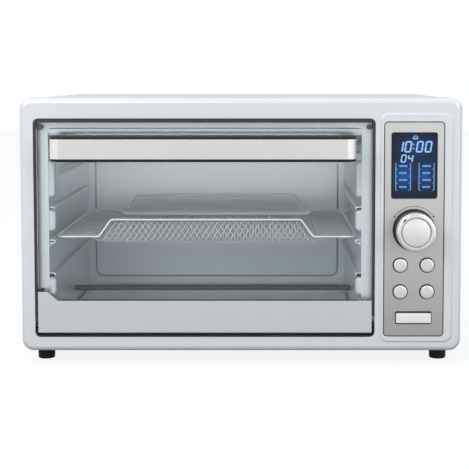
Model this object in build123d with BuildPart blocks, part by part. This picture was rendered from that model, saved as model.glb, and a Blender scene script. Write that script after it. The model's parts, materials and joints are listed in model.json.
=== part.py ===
from build123d import *
from math import cos, radians, sin
import os

# Countertop air fryer oven: sheet steel casing, drop-down glass door, steel cavity with a mesh basket,
# and a control section on the right. Millimetres, +X right, +Y back, +Z up.
# The origin lies on the ground under the middle of the whole object.

os.makedirs("parts", exist_ok=True)

# Casing
body_width = 500.0
body_height = 288.5
body_depth = 356.0
corner_radius = 13.0
foot_height = 15.5
frame_depth = 26.0
frame_front_wall = 3.0
frame_side_wall = 2.5
frame_edge_round = 6.5
cover_inset = 1.0
cover_sheet = 1.2
cover_seam_height = 13.0
base_sheet = 1.2
base_corner = 9.0
base_flange_lap = 12.0
rear_sheet = 1.2
rear_inset = 2.0
rear_flange = 14.0
lap_clearance = 0.2
seat_gap = 0.3

# Feet
foot_radius = 10.2
foot_toe_radius = 9.2
foot_inset_side = 21.5
foot_inset_front = 38.0
foot_inset_rear = 34.0
foot_screw_radius = 2.0
foot_screw_head = 3.8
foot_screw_head_height = 2.4
foot_recess_radius = 5.2
foot_recess_depth = 6.0
screw_hole_clearance = 0.25

# Door opening in the front frame
opening_left_margin = 15.5
opening_bottom_margin = 16.3
opening_top_margin = 23.1
control_section_width = 98.2
opening_corner = 6.0
skirt_wall = 2.5

# Door
door_side_gap = 3.6
door_top_gap = 5.2
door_bottom_gap = 4.6
door_sheet = 1.0
door_depth = 12.5
door_channel_height = 26.0
door_heel_radius = 6.0
door_toe_radius = 1.5
panel_height = 37.1
panel_ear_height = 47.3
panel_ear_width = 10.8
panel_ear_slope = 11.2
glass_recess = 1.2
glass_thickness = 4.0
glass_corner = 3.0
glass_clearance = 0.2
hinge_back = 6.5
hinge_up = 7.2
hinge_pin_radius = 2.5
hinge_pin_in_lug = 11.0
lug_width = 12.0
lug_height = 13.0
lug_fit = 0.02
running_fit = 0.05
pin_skirt_clearance = 0.6
hinge_bracket_sheet = 2.0
hinge_bracket_rise = 9.0
hinge_bracket_foot = 8.0
hinge_bracket_foot_sheet = 1.2
bumper_radius = 2.9
bumper_inset = 8.0
bumper_drop = 5.0

# Handle
handle_reach = 36.0
handle_side_margin = 23.15
handle_height = 22.0
handle_below_door_top = 27.7
handle_end_radius = 12.0
handle_strip_sheet = 1.2
handle_strip_proud = 0.6
handle_core_height = 28.0
handle_core_thickness = 10.0
handle_leg_width = 15.0
handle_grip_radius = 6.0
handle_strip_return = 25.0
strip_clearance = 0.1
handle_screw_radius = 2.0
handle_screw_head_radius = 4.5
handle_screw_head = 3.0
handle_screw_depth = 14.0
core_edge_round = 1.5

# Door arm: a flat lever pinned to the door that slides through a slot in the flange
door_open_angle = 88.0
arm_sheet = 2.0
arm_inset = 1.6
arm_pin_radius = 2.0
arm_pin_back = 4.0
arm_pin_up = 30.4
arm_slot_up = 33.4
arm_lift_ratio = 0.3
arm_height = 7.0
arm_tail = 26.0
arm_slot_width = 6.0
arm_slot_rise = 9.0
arm_slot_drop = 9.0
arm_bracket_sheet = 1.5
arm_rivet_head_radius = 3.4
arm_rivet_head = 0.9

# Cavity
flange_front = 15.0
flange_sheet = 1.2
flange_right_reach = 11.0
cavity_side_margin = 14.55
cavity_bottom_margin = 14.4
cavity_top_margin = 34.3
cavity_rear_space = 25.8
cavity_sheet = 1.0
cavity_mouth_corner = 4.0
rail_reach = 7.0
rail_height = 8.0
rail_nose = 1.5
rail_pitch = 38.0
rail_first_height = 73.6
wall_slot_height = 11.0
wall_slot_width = 3.4
wall_slot_pitch = 6.2
wall_slot_front_margin = 70.0
wall_slot_back_margin = 46.0
wall_slot_drop = 55.0
rail_back_margin = 32.0
back_emboss_margin_side = 9.0
back_emboss_margin_low = 18.4
back_emboss_margin_high = 14.0
back_emboss_depth = 3.0
back_emboss_corner = 11.0
tray_sheet = 0.8
tray_rim = 6.0
tray_side_clearance = 3.0
tray_front_margin = 7.0
tray_back_margin = 6.0
tray_corner = 8.0

# Heaters
heater_radius = 3.5
heater_low_height = 24.5
heater_high_drop = 22.0
heater_front_margin = 79.0
heater_spacing = 105.0
heater_end_reach = 14.0
bush_radius = 7.0
bush_thickness = 5.0

# Circulation fan behind the right wall
fan_back_margin = 105.2
fan_height_share = 0.525
fan_radius = 42.0
fan_blade_count = 8
fan_blade_width = 10.0
fan_sheet = 1.0
fan_wall_gap = 4.0
fan_shield_gap = 4.0
fan_shaft_radius = 2.5
fan_hub_radius = 7.0
fan_slot_count = 16
fan_slot_length = 22.0
fan_slot_width = 3.5
fan_slot_inner_count = 8
fan_slot_inner_length = 9.0
shield_sheet = 1.0
shield_hole_radius = 6.0
motor_width = 56.0
motor_height = 48.0
motor_thickness = 20.0
motor_boss_radius = 10.0
motor_boss_reach = 8.0
motor_coil_radius = 15.0
probe_radius = 2.0
probe_reach = 24.0
probe_depth = 60.0
probe_drop = 30.0

# Control section
plate_width = 67.4
plate_top_margin = 27.1
plate_sheet = 1.2
plate_right_margin = 20.8
plate_bottom_margin = 18.0
plate_corner = 4.0
plate_gap = 0.7
plate_seat = 0.1
pad_raise = 1.5
pad_margin_right = 9.7
pad_margin_left = 4.3
pad_margin_top = 9.6
pad_margin_bottom = 6.8
pad_corner = 9.0
pad_edge_round = 1.3
window_width = 52.4
window_height = 75.3
window_corner = 3.0
window_height_share = 0.798
window_clearance = 0.15
window_ledge = 3.0
display_depth = 7.0
knob_height_share = 0.4975
knob_radius = 22.8
knob_front_radius = 21.4
knob_length = 24.5
knob_wall = 2.2
knob_edge_round = 2.6
knob_boss_radius = 6.0
knob_cap_radius = 16.4
knob_cap_thickness = 1.6
knob_cap_proud = 0.4
knob_mark_width = 1.8
knob_mark_length = 5.0
knob_mark_depth = 0.5
knob_mark_angle = 135.0
ring_radius = 24.0
ring_inner_radius = 20.0
ring_height = 0.8
encoder_shaft_radius = 3.0
encoder_shaft_in_knob = 17.0
encoder_size = 13.0
encoder_bush_radius = 4.4
shaft_hole_clearance = 0.6
button_hole_radius = 8.75
button_clearance = 0.45
button_column_offset = 15.2
button_row_high_share = 0.3335
button_row_low_share = 0.2085
button_proud = 2.4
button_dome = 0.9
button_travel = 1.1
button_collar = 1.4
button_collar_thickness = 1.3
button_stem_radius = 2.6
start_width = 41.6
start_height = 14.7
start_corner = 2.0
start_height_share = 0.086
board_depth = 15.0
board_sheet = 1.6
board_width = 58.0
board_below_start = 11.0
board_above_knob = 24.0
board_post_radius = 3.0
board_post_inset = 5.0
switch_size = 6.2
switch_height = 3.5
switch_plunger_radius = 1.75

# Power electronics and cord entry
power_board_length = 92.0
power_board_height = 84.0
power_board_front = 66.0
power_board_bottom = 36.0
power_board_standoff = 8.0
standoff_radius = 3.0
relay_size = (19.0, 15.0, 15.0)
transformer_size = (32.0, 27.0, 24.0)
capacitor_radius = 5.0
capacitor_length = 15.0
terminal_size = (34.0, 18.0, 14.0)
gland_side_margin = 45.0
gland_height = 36.5
gland_flange_radius = 12.0
gland_flange = 2.0
gland_neck_radius = 8.0
gland_reach = 8.0
gland_bore_radius = 3.8

# Vents
side_slot_length = 26.0
side_slot_width = 3.2
side_slot_pitch = 11.0
side_slot_columns = 9
side_slot_rows = 2
side_slot_row_pitch = 40.0
side_slot_front = 150.0
side_slot_low = 150.0
louvre_length = 46.0
louvre_height = 7.0
louvre_proud = 3.0
louvre_sheet = 1.0
louvre_columns = 5
louvre_rows = 5
louvre_pitch_x = 62.0
louvre_pitch_z = 15.0
louvre_above_middle = 45.0
base_slot_length = 40.0
base_slot_width = 5.0
base_slot_count = 9
base_slot_pitch = 26.0

# Screws in the rear cover
rear_screw_radius = 1.8
rear_screw_head = 3.5
rear_screw_head_height = 2.0
rear_screw_length = 8.0
rear_screw_inset = 9.0

# Basket
basket_side_clearance = 5.2
basket_front_margin = 15.8
basket_back_margin = 18.0
basket_wire_radius = 1.25
basket_corner = 9.0
basket_bend = 5.0
basket_rise = 19.8
basket_ramp_margin = 49.4
basket_ramp_width = 14.0
mesh_sheet = 1.0
mesh_drop = 5.4
mesh_wing_width = 47.4
mesh_wire_gap = 0.3
mesh_hole_width = 19.0
mesh_hole_length = 29.0
mesh_strand_x = 5.0
mesh_strand_y = 5.0
mesh_wall_hole_width = 12.0
mesh_wall_hole_height = 15.0
mesh_wall_strand = 1.5

# Places that follow from the sizes above
overall_depth = handle_reach + body_depth - rear_inset + gland_reach
front_y = handle_reach - overall_depth / 2
body_bottom = foot_height
body_top = body_bottom + body_height
body_mid = body_bottom + body_height / 2
frame_inner_width = body_width - 2 * frame_side_wall
frame_inner_height = body_height - 2 * frame_side_wall
cover_width = body_width - 2 * cover_inset
cover_corner = corner_radius - cover_inset
cover_top = body_top - cover_inset
cover_inner_width = cover_width - 2 * cover_sheet
cover_seam = body_bottom + cover_seam_height
base_width = cover_inner_width - 2 * lap_clearance
rear_plate_back = body_depth - rear_inset
rear_plate_front = rear_plate_back - rear_sheet
foot_x = body_width / 2 - foot_inset_side
foot_depths = (foot_inset_front, body_depth - foot_inset_rear)

opening_width = body_width - opening_left_margin - control_section_width
opening_height = body_height - opening_bottom_margin - opening_top_margin
opening_left = -body_width / 2 + opening_left_margin
opening_right = opening_left + opening_width
opening_mid_x = (opening_left + opening_right) / 2
opening_low = body_bottom + opening_bottom_margin
opening_mid_z = opening_low + opening_height / 2
door_left = opening_left + door_side_gap
door_right = opening_right - door_side_gap
door_low = opening_low + door_bottom_gap
door_high = opening_low + opening_height - door_top_gap
hinge_z = door_low + hinge_up
lug_top = door_low + door_sheet + lug_height
glass_back = glass_recess + glass_thickness
handle_z = door_high - handle_below_door_top
handle_width = opening_width - 2 * handle_side_margin
skirt_outer_left = opening_left - skirt_wall
skirt_outer_right = opening_right + skirt_wall

flange_back = flange_front + flange_sheet
flange_right = opening_right + flange_right_reach
cavity_width = opening_width - 2 * cavity_side_margin
cavity_height = body_height - cavity_bottom_margin - cavity_top_margin
cavity_depth = body_depth - cavity_rear_space - flange_back
cavity_left = opening_mid_x - cavity_width / 2
cavity_right = opening_mid_x + cavity_width / 2
cavity_low = body_bottom + cavity_bottom_margin
cavity_high = cavity_low + cavity_height
cavity_mid_z = (cavity_low + cavity_high) / 2
cavity_back = flange_back + cavity_depth
rail_tops = [cavity_low + rail_first_height + level * rail_pitch for level in range(3)]
heater_low_z = cavity_low + heater_low_height
heater_high_z = cavity_high - heater_high_drop
heater_depths = (flange_back + heater_front_margin, flange_back + heater_front_margin + heater_spacing)

fan_depth = cavity_back - fan_back_margin
fan_z = cavity_low + fan_height_share * cavity_height
wall_outer_right = cavity_right + cavity_sheet
fan_front_x = wall_outer_right + fan_wall_gap
fan_back_x = fan_front_x + fan_blade_width + fan_sheet
shield_x = fan_back_x + fan_shield_gap
shield_back_x = shield_x + shield_sheet

plate_height = body_height - plate_bottom_margin - plate_top_margin
plate_mid_x = body_width / 2 - plate_right_margin - plate_width / 2
plate_left = plate_mid_x - plate_width / 2
plate_low = body_bottom + plate_bottom_margin
plate_mid_z = plate_low + plate_height / 2
plate_back = -plate_seat
plate_front = plate_back - plate_sheet
window_z = plate_low + window_height_share * plate_height
knob_z = plate_low + knob_height_share * plate_height
start_z = plate_low + start_height_share * plate_height
button_high_z = plate_low + button_row_high_share * plate_height
button_low_z = plate_low + button_row_low_share * plate_height
button_radius = button_hole_radius - button_clearance
button_places = {
    "button_upper_left": (plate_mid_x - button_column_offset, button_high_z),
    "button_upper_right": (plate_mid_x + button_column_offset, button_high_z),
    "button_lower_left": (plate_mid_x - button_column_offset, button_low_z),
    "button_lower_right": (plate_mid_x + button_column_offset, button_low_z),
}
collar_front = frame_front_wall + seat_gap
collar_back = collar_front + button_collar_thickness
plunger_tip = board_depth - switch_height - 2.0
stem_back = plunger_tip - button_travel - seat_gap
knob_back = plate_front - ring_height - seat_gap
knob_front = knob_back - knob_length

gland_x = body_width / 2 - gland_side_margin
gland_z = body_bottom + gland_height
louvre_centre_z = body_mid + louvre_above_middle

basket_left = cavity_left + basket_side_clearance
basket_right = cavity_right - basket_side_clearance
basket_front = flange_back + basket_front_margin
basket_back = cavity_back - basket_back_margin
basket_mid_depth = (basket_front + basket_back) / 2
basket_ramp_outer = (basket_right - basket_left) / 2 - basket_ramp_margin
basket_ramp_inner = basket_ramp_outer - basket_ramp_width
basket_wire_z = rail_tops[1] + seat_gap + basket_wire_radius
basket_high_z = basket_wire_z + basket_rise
mesh_floor_z = basket_wire_z - mesh_drop


def front_plane(depth):
    # drawn as seen from the front: X and Z, at a depth behind the frame's face
    return Plane(origin=(0, front_y + depth, 0), x_dir=(1, 0, 0), z_dir=(0, -1, 0))


def side_plane(x):
    # drawn as seen from the right: depth behind the frame's face and Z
    return Plane(origin=(x, front_y, 0), x_dir=(0, 1, 0), z_dir=(1, 0, 0))


def level_plane(z):
    # drawn as seen from above: X and depth behind the frame's face
    return Plane(origin=(0, front_y, z), x_dir=(1, 0, 0), z_dir=(0, 0, 1))


def turned_plane(x, z):
    # for shapes turned about a line that runs front to back: radius and depth
    return Plane(origin=(x, front_y, z), x_dir=(1, 0, 0), z_dir=(0, 0, 1))


def turning_axis(x, z):
    return Axis((x, front_y, z), (0, 1, 0))


def save(builder, name):
    builder.part.label = name
    export_step(builder.part, f"parts/{name}.step")


# Front frame: moulded frame with the door opening, its skirt and the raised control pad

with BuildPart() as front_frame:
    with BuildSketch(front_plane(0)):
        with Locations((0, body_mid)):
            RectangleRounded(body_width, body_height, corner_radius)
    extrude(amount=-frame_depth)
    fillet(front_frame.edges().group_by(Axis.Y)[0], frame_edge_round)
    with BuildSketch(front_plane(frame_front_wall)):
        with Locations((0, body_mid)):
            RectangleRounded(frame_inner_width, frame_inner_height, corner_radius - frame_side_wall)
    extrude(amount=-(frame_depth - frame_front_wall), mode=Mode.SUBTRACT)
    pad_left = plate_left - pad_margin_left
    pad_right = plate_left + plate_width + pad_margin_right
    pad_low = plate_low - pad_margin_bottom
    pad_high = plate_low + plate_height + pad_margin_top
    with BuildSketch(front_plane(-pad_raise)):
        with Locations(((pad_left + pad_right) / 2, (pad_low + pad_high) / 2)):
            RectangleRounded(pad_right - pad_left, pad_high - pad_low, pad_corner)
    extrude(amount=-(pad_raise + frame_front_wall / 2))
    fillet(front_frame.edges().group_by(Axis.Y)[0], pad_edge_round)
    with BuildSketch(front_plane(frame_front_wall)):
        with Locations((opening_mid_x, opening_mid_z)):
            RectangleRounded(
                opening_width + 2 * skirt_wall, opening_height + 2 * skirt_wall, opening_corner + skirt_wall
            )
    extrude(amount=-(flange_front - seat_gap - frame_front_wall))
    with BuildSketch(front_plane(0)):
        with Locations((opening_mid_x, opening_mid_z)):
            RectangleRounded(opening_width, opening_height, opening_corner)
    extrude(amount=-frame_depth, mode=Mode.SUBTRACT)
    with BuildSketch(front_plane(-pad_raise)):
        with Locations((plate_mid_x, plate_mid_z)):
            RectangleRounded(
                plate_width + 2 * plate_gap, plate_height + 2 * plate_gap, plate_corner + plate_gap
            )
    extrude(amount=-pad_raise, mode=Mode.SUBTRACT)
    with BuildSketch(front_plane(0)):
        with Locations((plate_mid_x, window_z)):
            Rectangle(window_width - 2 * window_ledge, window_height - 2 * window_ledge)
        with Locations((plate_mid_x, knob_z)):
            Circle(encoder_bush_radius + shaft_hole_clearance)
        with Locations(*button_places.values()):
            Circle(button_hole_radius)
        with Locations((plate_mid_x, start_z)):
            RectangleRounded(start_width, start_height, start_corner)
    extrude(amount=-frame_front_wall, mode=Mode.SUBTRACT)
    with BuildSketch(side_plane(skirt_outer_left - seat_gap)):
        with Locations((hinge_back, hinge_z)):
            Circle(hinge_pin_radius + pin_skirt_clearance)
    extrude(amount=skirt_outer_right - skirt_outer_left + 2 * seat_gap, mode=Mode.SUBTRACT)
save(front_frame, "front_frame")


# Outer cover: one steel wrap over the top and both sides, its lower edges ending at the base seam

with BuildPart() as outer_cover:
    with BuildSketch(front_plane(frame_depth)):
        with Locations((0, body_mid - cover_inset / 2)):
            RectangleRounded(cover_width, body_height - cover_inset, cover_corner)
        with Locations((0, body_mid - cover_inset / 2)):
            RectangleRounded(
                cover_inner_width,
                body_height - cover_inset - 2 * cover_sheet,
                cover_corner - cover_sheet,
                mode=Mode.SUBTRACT,
            )
        with Locations((0, body_bottom + cover_seam_height / 2)):
            Rectangle(body_width, cover_seam_height, mode=Mode.SUBTRACT)
    extrude(amount=-(body_depth - frame_depth))
    side_slot_mid = side_slot_front + (side_slot_columns - 1) * side_slot_pitch / 2
    side_slot_height = body_bottom + side_slot_low + (side_slot_rows - 1) * side_slot_row_pitch / 2
    with BuildSketch(side_plane(-body_width / 2)):
        with Locations((side_slot_mid, side_slot_height)):
            with GridLocations(side_slot_pitch, side_slot_row_pitch, side_slot_columns, side_slot_rows):
                SlotOverall(side_slot_length, side_slot_width, rotation=90)
    extrude(amount=body_width, mode=Mode.SUBTRACT)
save(outer_cover, "outer_cover")


# Base plate: folded pan that closes the underside, lapped inside the cover

with BuildPart() as base_plate:
    base_flange_top = cover_seam + base_flange_lap
    with BuildSketch(front_plane(frame_depth)):
        with Locations((0, body_mid)):
            RectangleRounded(base_width, body_height, base_corner)
            RectangleRounded(
                base_width - 2 * base_sheet,
                body_height - 2 * base_sheet,
                base_corner - base_sheet,
                mode=Mode.SUBTRACT,
            )
        with Locations((0, (base_flange_top + body_top) / 2)):
            Rectangle(body_width, body_top - base_flange_top, mode=Mode.SUBTRACT)
    extrude(amount=-(rear_plate_back - frame_depth))
    with BuildSketch(level_plane(body_bottom)):
        for depth in foot_depths:
            with Locations((-foot_x, depth), (foot_x, depth)):
                Circle(foot_screw_radius + screw_hole_clearance)
        with Locations((0, body_depth / 2)):
            with GridLocations(base_slot_pitch, 3 * base_slot_length, base_slot_count, 2):
                SlotOverall(base_slot_length, base_slot_width, rotation=90)
    extrude(amount=base_sheet, mode=Mode.SUBTRACT)
save(base_plate, "base_plate")


# Rear cover: shallow pan with rows of pressed louvres, screw holes and the cord entry

rear_width = base_width - 2 * (base_sheet + lap_clearance)
rear_low = body_bottom + base_sheet + lap_clearance
rear_high = cover_top - cover_sheet - lap_clearance
rear_mid = (rear_low + rear_high) / 2
rear_corner = cover_corner - cover_sheet
rear_screw_x = rear_width / 2 - rear_screw_inset
rear_screw_places = [
    (side * share * rear_screw_x, z)
    for side, share in ((-1, 1.0), (-1, 1 / 3), (1, 1 / 3), (1, 1.0))
    for z in (rear_low + rear_screw_inset, rear_high - rear_screw_inset)
]

with BuildPart() as rear_cover:
    with BuildSketch(front_plane(rear_plate_back - rear_flange)):
        with Locations((0, rear_mid)):
            RectangleRounded(rear_width, rear_high - rear_low, rear_corner)
    extrude(amount=-rear_flange)
    with BuildSketch(front_plane(rear_plate_back - rear_flange)):
        with Locations((0, rear_mid)):
            RectangleRounded(
                rear_width - 2 * rear_sheet, rear_high - rear_low - 2 * rear_sheet, rear_corner - rear_sheet
            )
    extrude(amount=-(rear_flange - rear_sheet), mode=Mode.SUBTRACT)
    with BuildSketch(front_plane(rear_plate_front)):
        with Locations((0, louvre_centre_z)):
            with GridLocations(louvre_pitch_x, louvre_pitch_z, louvre_columns, louvre_rows):
                Rectangle(louvre_length - 2 * louvre_sheet, louvre_height - 2 * louvre_sheet)
        with Locations(*rear_screw_places):
            Circle(rear_screw_radius + screw_hole_clearance)
        with Locations((gland_x, gland_z)):
            Circle(gland_neck_radius + lap_clearance)
    extrude(amount=-rear_sheet, mode=Mode.SUBTRACT)
    hood_top = louvre_height / 2
    with BuildSketch(side_plane(-louvre_length / 2)) as hood_section:
        Polygon(
            (rear_plate_back, hood_top),
            (rear_plate_back, hood_top - louvre_sheet),
            (rear_plate_back + louvre_proud - louvre_sheet, -hood_top),
            (rear_plate_back + louvre_proud, -hood_top),
            align=None,
        )
    hood = extrude(hood_section.sketch, amount=louvre_length, mode=Mode.PRIVATE)
    with BuildSketch(side_plane(-louvre_length / 2)) as cheek_section:
        Polygon(
            (rear_plate_back, hood_top),
            (rear_plate_back, -hood_top),
            (rear_plate_back + louvre_proud, -hood_top),
            align=None,
        )
    cheek = extrude(cheek_section.sketch, amount=louvre_sheet, mode=Mode.PRIVATE)
    with Locations((0, 0, louvre_centre_z)):
        for column in range(louvre_columns):
            for row in range(louvre_rows):
                louvre_x = (column - (louvre_columns - 1) / 2) * louvre_pitch_x
                louvre_z = (row - (louvre_rows - 1) / 2) * louvre_pitch_z
                with Locations((louvre_x, 0, louvre_z)):
                    add(hood)
                    add(cheek)
                with Locations((louvre_x + louvre_length - louvre_sheet, 0, louvre_z)):
                    add(cheek)
save(rear_cover, "rear_cover")

with BuildPart() as cover_screws:
    with BuildSketch(front_plane(rear_plate_back)):
        with Locations(*rear_screw_places):
            Circle(rear_screw_head)
    extrude(amount=-rear_screw_head_height)
    with BuildSketch(front_plane(rear_plate_back)):
        with Locations(*rear_screw_places):
            Circle(rear_screw_radius)
    extrude(amount=rear_screw_length)
save(cover_screws, "cover_screws")


# Feet: moulded black feet, each with a screw up through its recess

foot_places = [(side * foot_x, depth) for side in (-1, 1) for depth in foot_depths]

with BuildPart() as feet:
    with BuildSketch(level_plane(body_bottom)):
        with Locations(*foot_places):
            Circle(foot_radius)
    extrude(amount=-foot_height, taper=2.5)
    fillet(feet.edges().group_by(Axis.Z)[0], 1.6)
    with BuildSketch(level_plane(0)):
        with Locations(*foot_places):
            Circle(foot_recess_radius)
    extrude(amount=foot_recess_depth, mode=Mode.SUBTRACT)
    with BuildSketch(level_plane(0)):
        with Locations(*foot_places):
            Circle(foot_screw_radius + screw_hole_clearance)
    extrude(amount=foot_height, mode=Mode.SUBTRACT)
save(feet, "feet")

with BuildPart() as foot_screws:
    with BuildSketch(level_plane(foot_recess_depth)):
        with Locations(*foot_places):
            Circle(foot_screw_head)
    extrude(amount=-foot_screw_head_height)
    with BuildSketch(level_plane(foot_recess_depth)):
        with Locations(*foot_places):
            Circle(foot_screw_radius)
    extrude(amount=body_bottom + base_sheet + 3 - foot_recess_depth)
save(foot_screws, "foot_screws")


# Front flange: flat steel face behind the door, with the cavity mouth and the slot for the door arm

arm_x = door_left + arm_inset
arm_slot_z = hinge_z + arm_slot_up

with BuildPart() as front_flange:
    with BuildSketch(front_plane(flange_front)):
        with Locations((0, body_mid)):
            RectangleRounded(
                frame_inner_width - 2 * seat_gap,
                frame_inner_height - 2 * seat_gap,
                corner_radius - frame_side_wall - seat_gap,
            )
        with Locations(((flange_right + body_width / 2) / 2, body_mid)):
            Rectangle(body_width / 2 - flange_right, body_height, mode=Mode.SUBTRACT)
        with Locations((opening_mid_x, cavity_mid_z)):
            RectangleRounded(cavity_width, cavity_height, cavity_mouth_corner, mode=Mode.SUBTRACT)
        with Locations((arm_x + arm_sheet / 2, arm_slot_z + (arm_slot_rise - arm_slot_drop) / 2)):
            SlotOverall(arm_slot_rise + arm_slot_drop, arm_slot_width, rotation=90, mode=Mode.SUBTRACT)
    extrude(amount=-flange_sheet)
save(front_flange, "front_flange")


# Cavity: floor, roof, back and two side walls with pressed rack rails


def rail_profile(face_x, inward, top, skin):
    # a ledge with a sloping underside; skin shrinks it to the hollow behind the pressed sheet
    reach = rail_reach - skin
    root = face_x - inward * (cavity_sheet if skin else 0)
    return [
        (root, top - skin),
        (face_x + inward * (reach - rail_nose), top - skin),
        (face_x + inward * reach, top - skin - rail_nose),
        (face_x + inward * reach, top - 2 * rail_nose - skin),
        (root, top - rail_height + skin),
    ]


def side_wall(face_x, inward):
    # sheet wall whose inner face is at face_x, with three hollow rails
    rail_length = cavity_depth - rail_back_margin
    with BuildSketch(front_plane(flange_back)) as sheet:
        with Locations((face_x - inward * cavity_sheet / 2, cavity_mid_z)):
            Rectangle(cavity_sheet, cavity_height)
    extrude(sheet.sketch, amount=-cavity_depth)
    for top in rail_tops:
        with BuildSketch(front_plane(flange_back)) as ledge:
            Polygon(*rail_profile(face_x, inward, top, 0), align=None)
        extrude(ledge.sketch, amount=-rail_length)
        with BuildSketch(front_plane(flange_back)) as hollow:
            Polygon(*rail_profile(face_x, inward, top, cavity_sheet), align=None)
        extrude(hollow.sketch, amount=-(rail_length - cavity_sheet), mode=Mode.SUBTRACT)


def heater_holes(x):
    with BuildSketch(side_plane(x)) as holes:
        for depth in heater_depths:
            with Locations((depth, heater_low_z), (depth, heater_high_z)):
                Circle(heater_radius + lap_clearance)
    extrude(holes.sketch, amount=cavity_sheet, mode=Mode.SUBTRACT)


with BuildPart() as cavity_left_wall:
    side_wall(cavity_left, 1)
    heater_holes(cavity_left - cavity_sheet)
    wall_slot_span = cavity_depth - wall_slot_front_margin - wall_slot_back_margin
    wall_slot_count = int(wall_slot_span / wall_slot_pitch)
    with BuildSketch(side_plane(cavity_left - cavity_sheet)):
        with Locations((flange_back + wall_slot_front_margin + wall_slot_span / 2, cavity_high - wall_slot_drop)):
            with GridLocations(wall_slot_pitch, 0, wall_slot_count, 1):
                Rectangle(wall_slot_width, wall_slot_height)
    extrude(amount=cavity_sheet, mode=Mode.SUBTRACT)
save(cavity_left_wall, "cavity_left_wall")

with BuildPart() as cavity_right_wall:
    side_wall(cavity_right, -1)
    heater_holes(cavity_right)
    with BuildSketch(side_plane(cavity_right)):
        with Locations((fan_depth, fan_z)):
            with PolarLocations(fan_radius - fan_slot_length / 2, fan_slot_count):
                Rectangle(fan_slot_length, fan_slot_width)
            with PolarLocations(fan_slot_inner_length, fan_slot_inner_count):
                Rectangle(fan_slot_inner_length, fan_slot_width)
    extrude(amount=cavity_sheet, mode=Mode.SUBTRACT)
    probe_z = cavity_high - probe_drop
    with BuildSketch(side_plane(cavity_right)):
        with Locations((probe_depth, probe_z)):
            Circle(probe_radius + lap_clearance)
    extrude(amount=cavity_sheet, mode=Mode.SUBTRACT)
save(cavity_right_wall, "cavity_right_wall")

with BuildPart() as cavity_back_wall:
    with BuildSketch(front_plane(cavity_back)):
        with Locations((opening_mid_x, cavity_mid_z)):
            Rectangle(cavity_width + 2 * cavity_sheet, cavity_height + 2 * cavity_sheet)
    extrude(amount=-cavity_sheet)
    emboss_low = cavity_low + back_emboss_margin_low
    emboss_high = cavity_high - back_emboss_margin_high
    emboss_width = cavity_width - 2 * back_emboss_margin_side
    with BuildSketch(front_plane(cavity_back)):
        with Locations((opening_mid_x, (emboss_low + emboss_high) / 2)):
            RectangleRounded(emboss_width, emboss_high - emboss_low, back_emboss_corner)
    extrude(amount=back_emboss_depth, taper=30)
    with BuildSketch(front_plane(cavity_back + cavity_sheet)):
        with Locations((opening_mid_x, (emboss_low + emboss_high) / 2)):
            RectangleRounded(
                emboss_width - 2 * cavity_sheet,
                emboss_high - emboss_low - 2 * cavity_sheet,
                back_emboss_corner - cavity_sheet,
            )
    extrude(amount=back_emboss_depth, taper=30, mode=Mode.SUBTRACT)
save(cavity_back_wall, "cavity_back_wall")

with BuildPart() as cavity_roof:
    with BuildSketch(front_plane(flange_back)):
        with Locations((opening_mid_x, cavity_high + cavity_sheet / 2)):
            Rectangle(cavity_width + 2 * cavity_sheet, cavity_sheet)
    extrude(amount=-cavity_depth)
save(cavity_roof, "cavity_roof")

with BuildPart() as cavity_floor:
    with BuildSketch(front_plane(flange_back)):
        with Locations((opening_mid_x, cavity_low - cavity_sheet / 2)):
            Rectangle(cavity_width + 2 * cavity_sheet, cavity_sheet)
    extrude(amount=-cavity_depth)
save(cavity_floor, "cavity_floor")

# Crumb tray: shallow folded tray lying on the cavity floor

with BuildPart() as crumb_tray:
    tray_front = flange_back + tray_front_margin
    tray_back = cavity_back - tray_back_margin
    tray_width = cavity_width - 2 * tray_side_clearance
    with BuildSketch(level_plane(cavity_low)):
        with Locations((opening_mid_x, (tray_front + tray_back) / 2)):
            RectangleRounded(tray_width, tray_back - tray_front, tray_corner)
    extrude(amount=tray_rim)
    with BuildSketch(level_plane(cavity_low + tray_sheet)):
        with Locations((opening_mid_x, (tray_front + tray_back) / 2)):
            RectangleRounded(
                tray_width - 2 * tray_sheet, tray_back - tray_front - 2 * tray_sheet, tray_corner - tray_sheet
            )
    extrude(amount=tray_rim, mode=Mode.SUBTRACT)
save(crumb_tray, "crumb_tray")


# Heaters: two straight sheathed rods above and two below, their ends held in ceramic bushes


def heater_pair(height):
    with BuildSketch(side_plane(cavity_left - heater_end_reach)) as rods:
        with Locations(*[(depth, height) for depth in heater_depths]):
            Circle(heater_radius)
    extrude(rods.sketch, amount=cavity_width + 2 * heater_end_reach)


with BuildPart() as upper_heaters:
    heater_pair(heater_high_z)
save(upper_heaters, "upper_heaters")

with BuildPart() as lower_heaters:
    heater_pair(heater_low_z)
save(lower_heaters, "lower_heaters")

with BuildPart() as heater_bushes:
    for bush_x in (cavity_left - cavity_sheet - bush_thickness, wall_outer_right):
        with BuildSketch(side_plane(bush_x)):
            for depth in heater_depths:
                with Locations((depth, heater_low_z), (depth, heater_high_z)):
                    Circle(bush_radius)
                    Circle(heater_radius + running_fit, mode=Mode.SUBTRACT)
        extrude(amount=bush_thickness)
save(heater_bushes, "heater_bushes")

with BuildPart() as temperature_probe:
    with BuildSketch(side_plane(cavity_right - probe_reach)):
        with Locations((probe_depth, probe_z)):
            Circle(probe_radius)
    extrude(amount=probe_reach + cavity_sheet)
    with BuildSketch(side_plane(wall_outer_right)):
        with Locations((probe_depth, probe_z)):
            Circle(2 * probe_radius)
    extrude(amount=2 * probe_radius)
save(temperature_probe, "temperature_probe")


# Heat shield between the cavity and the electronics

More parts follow.
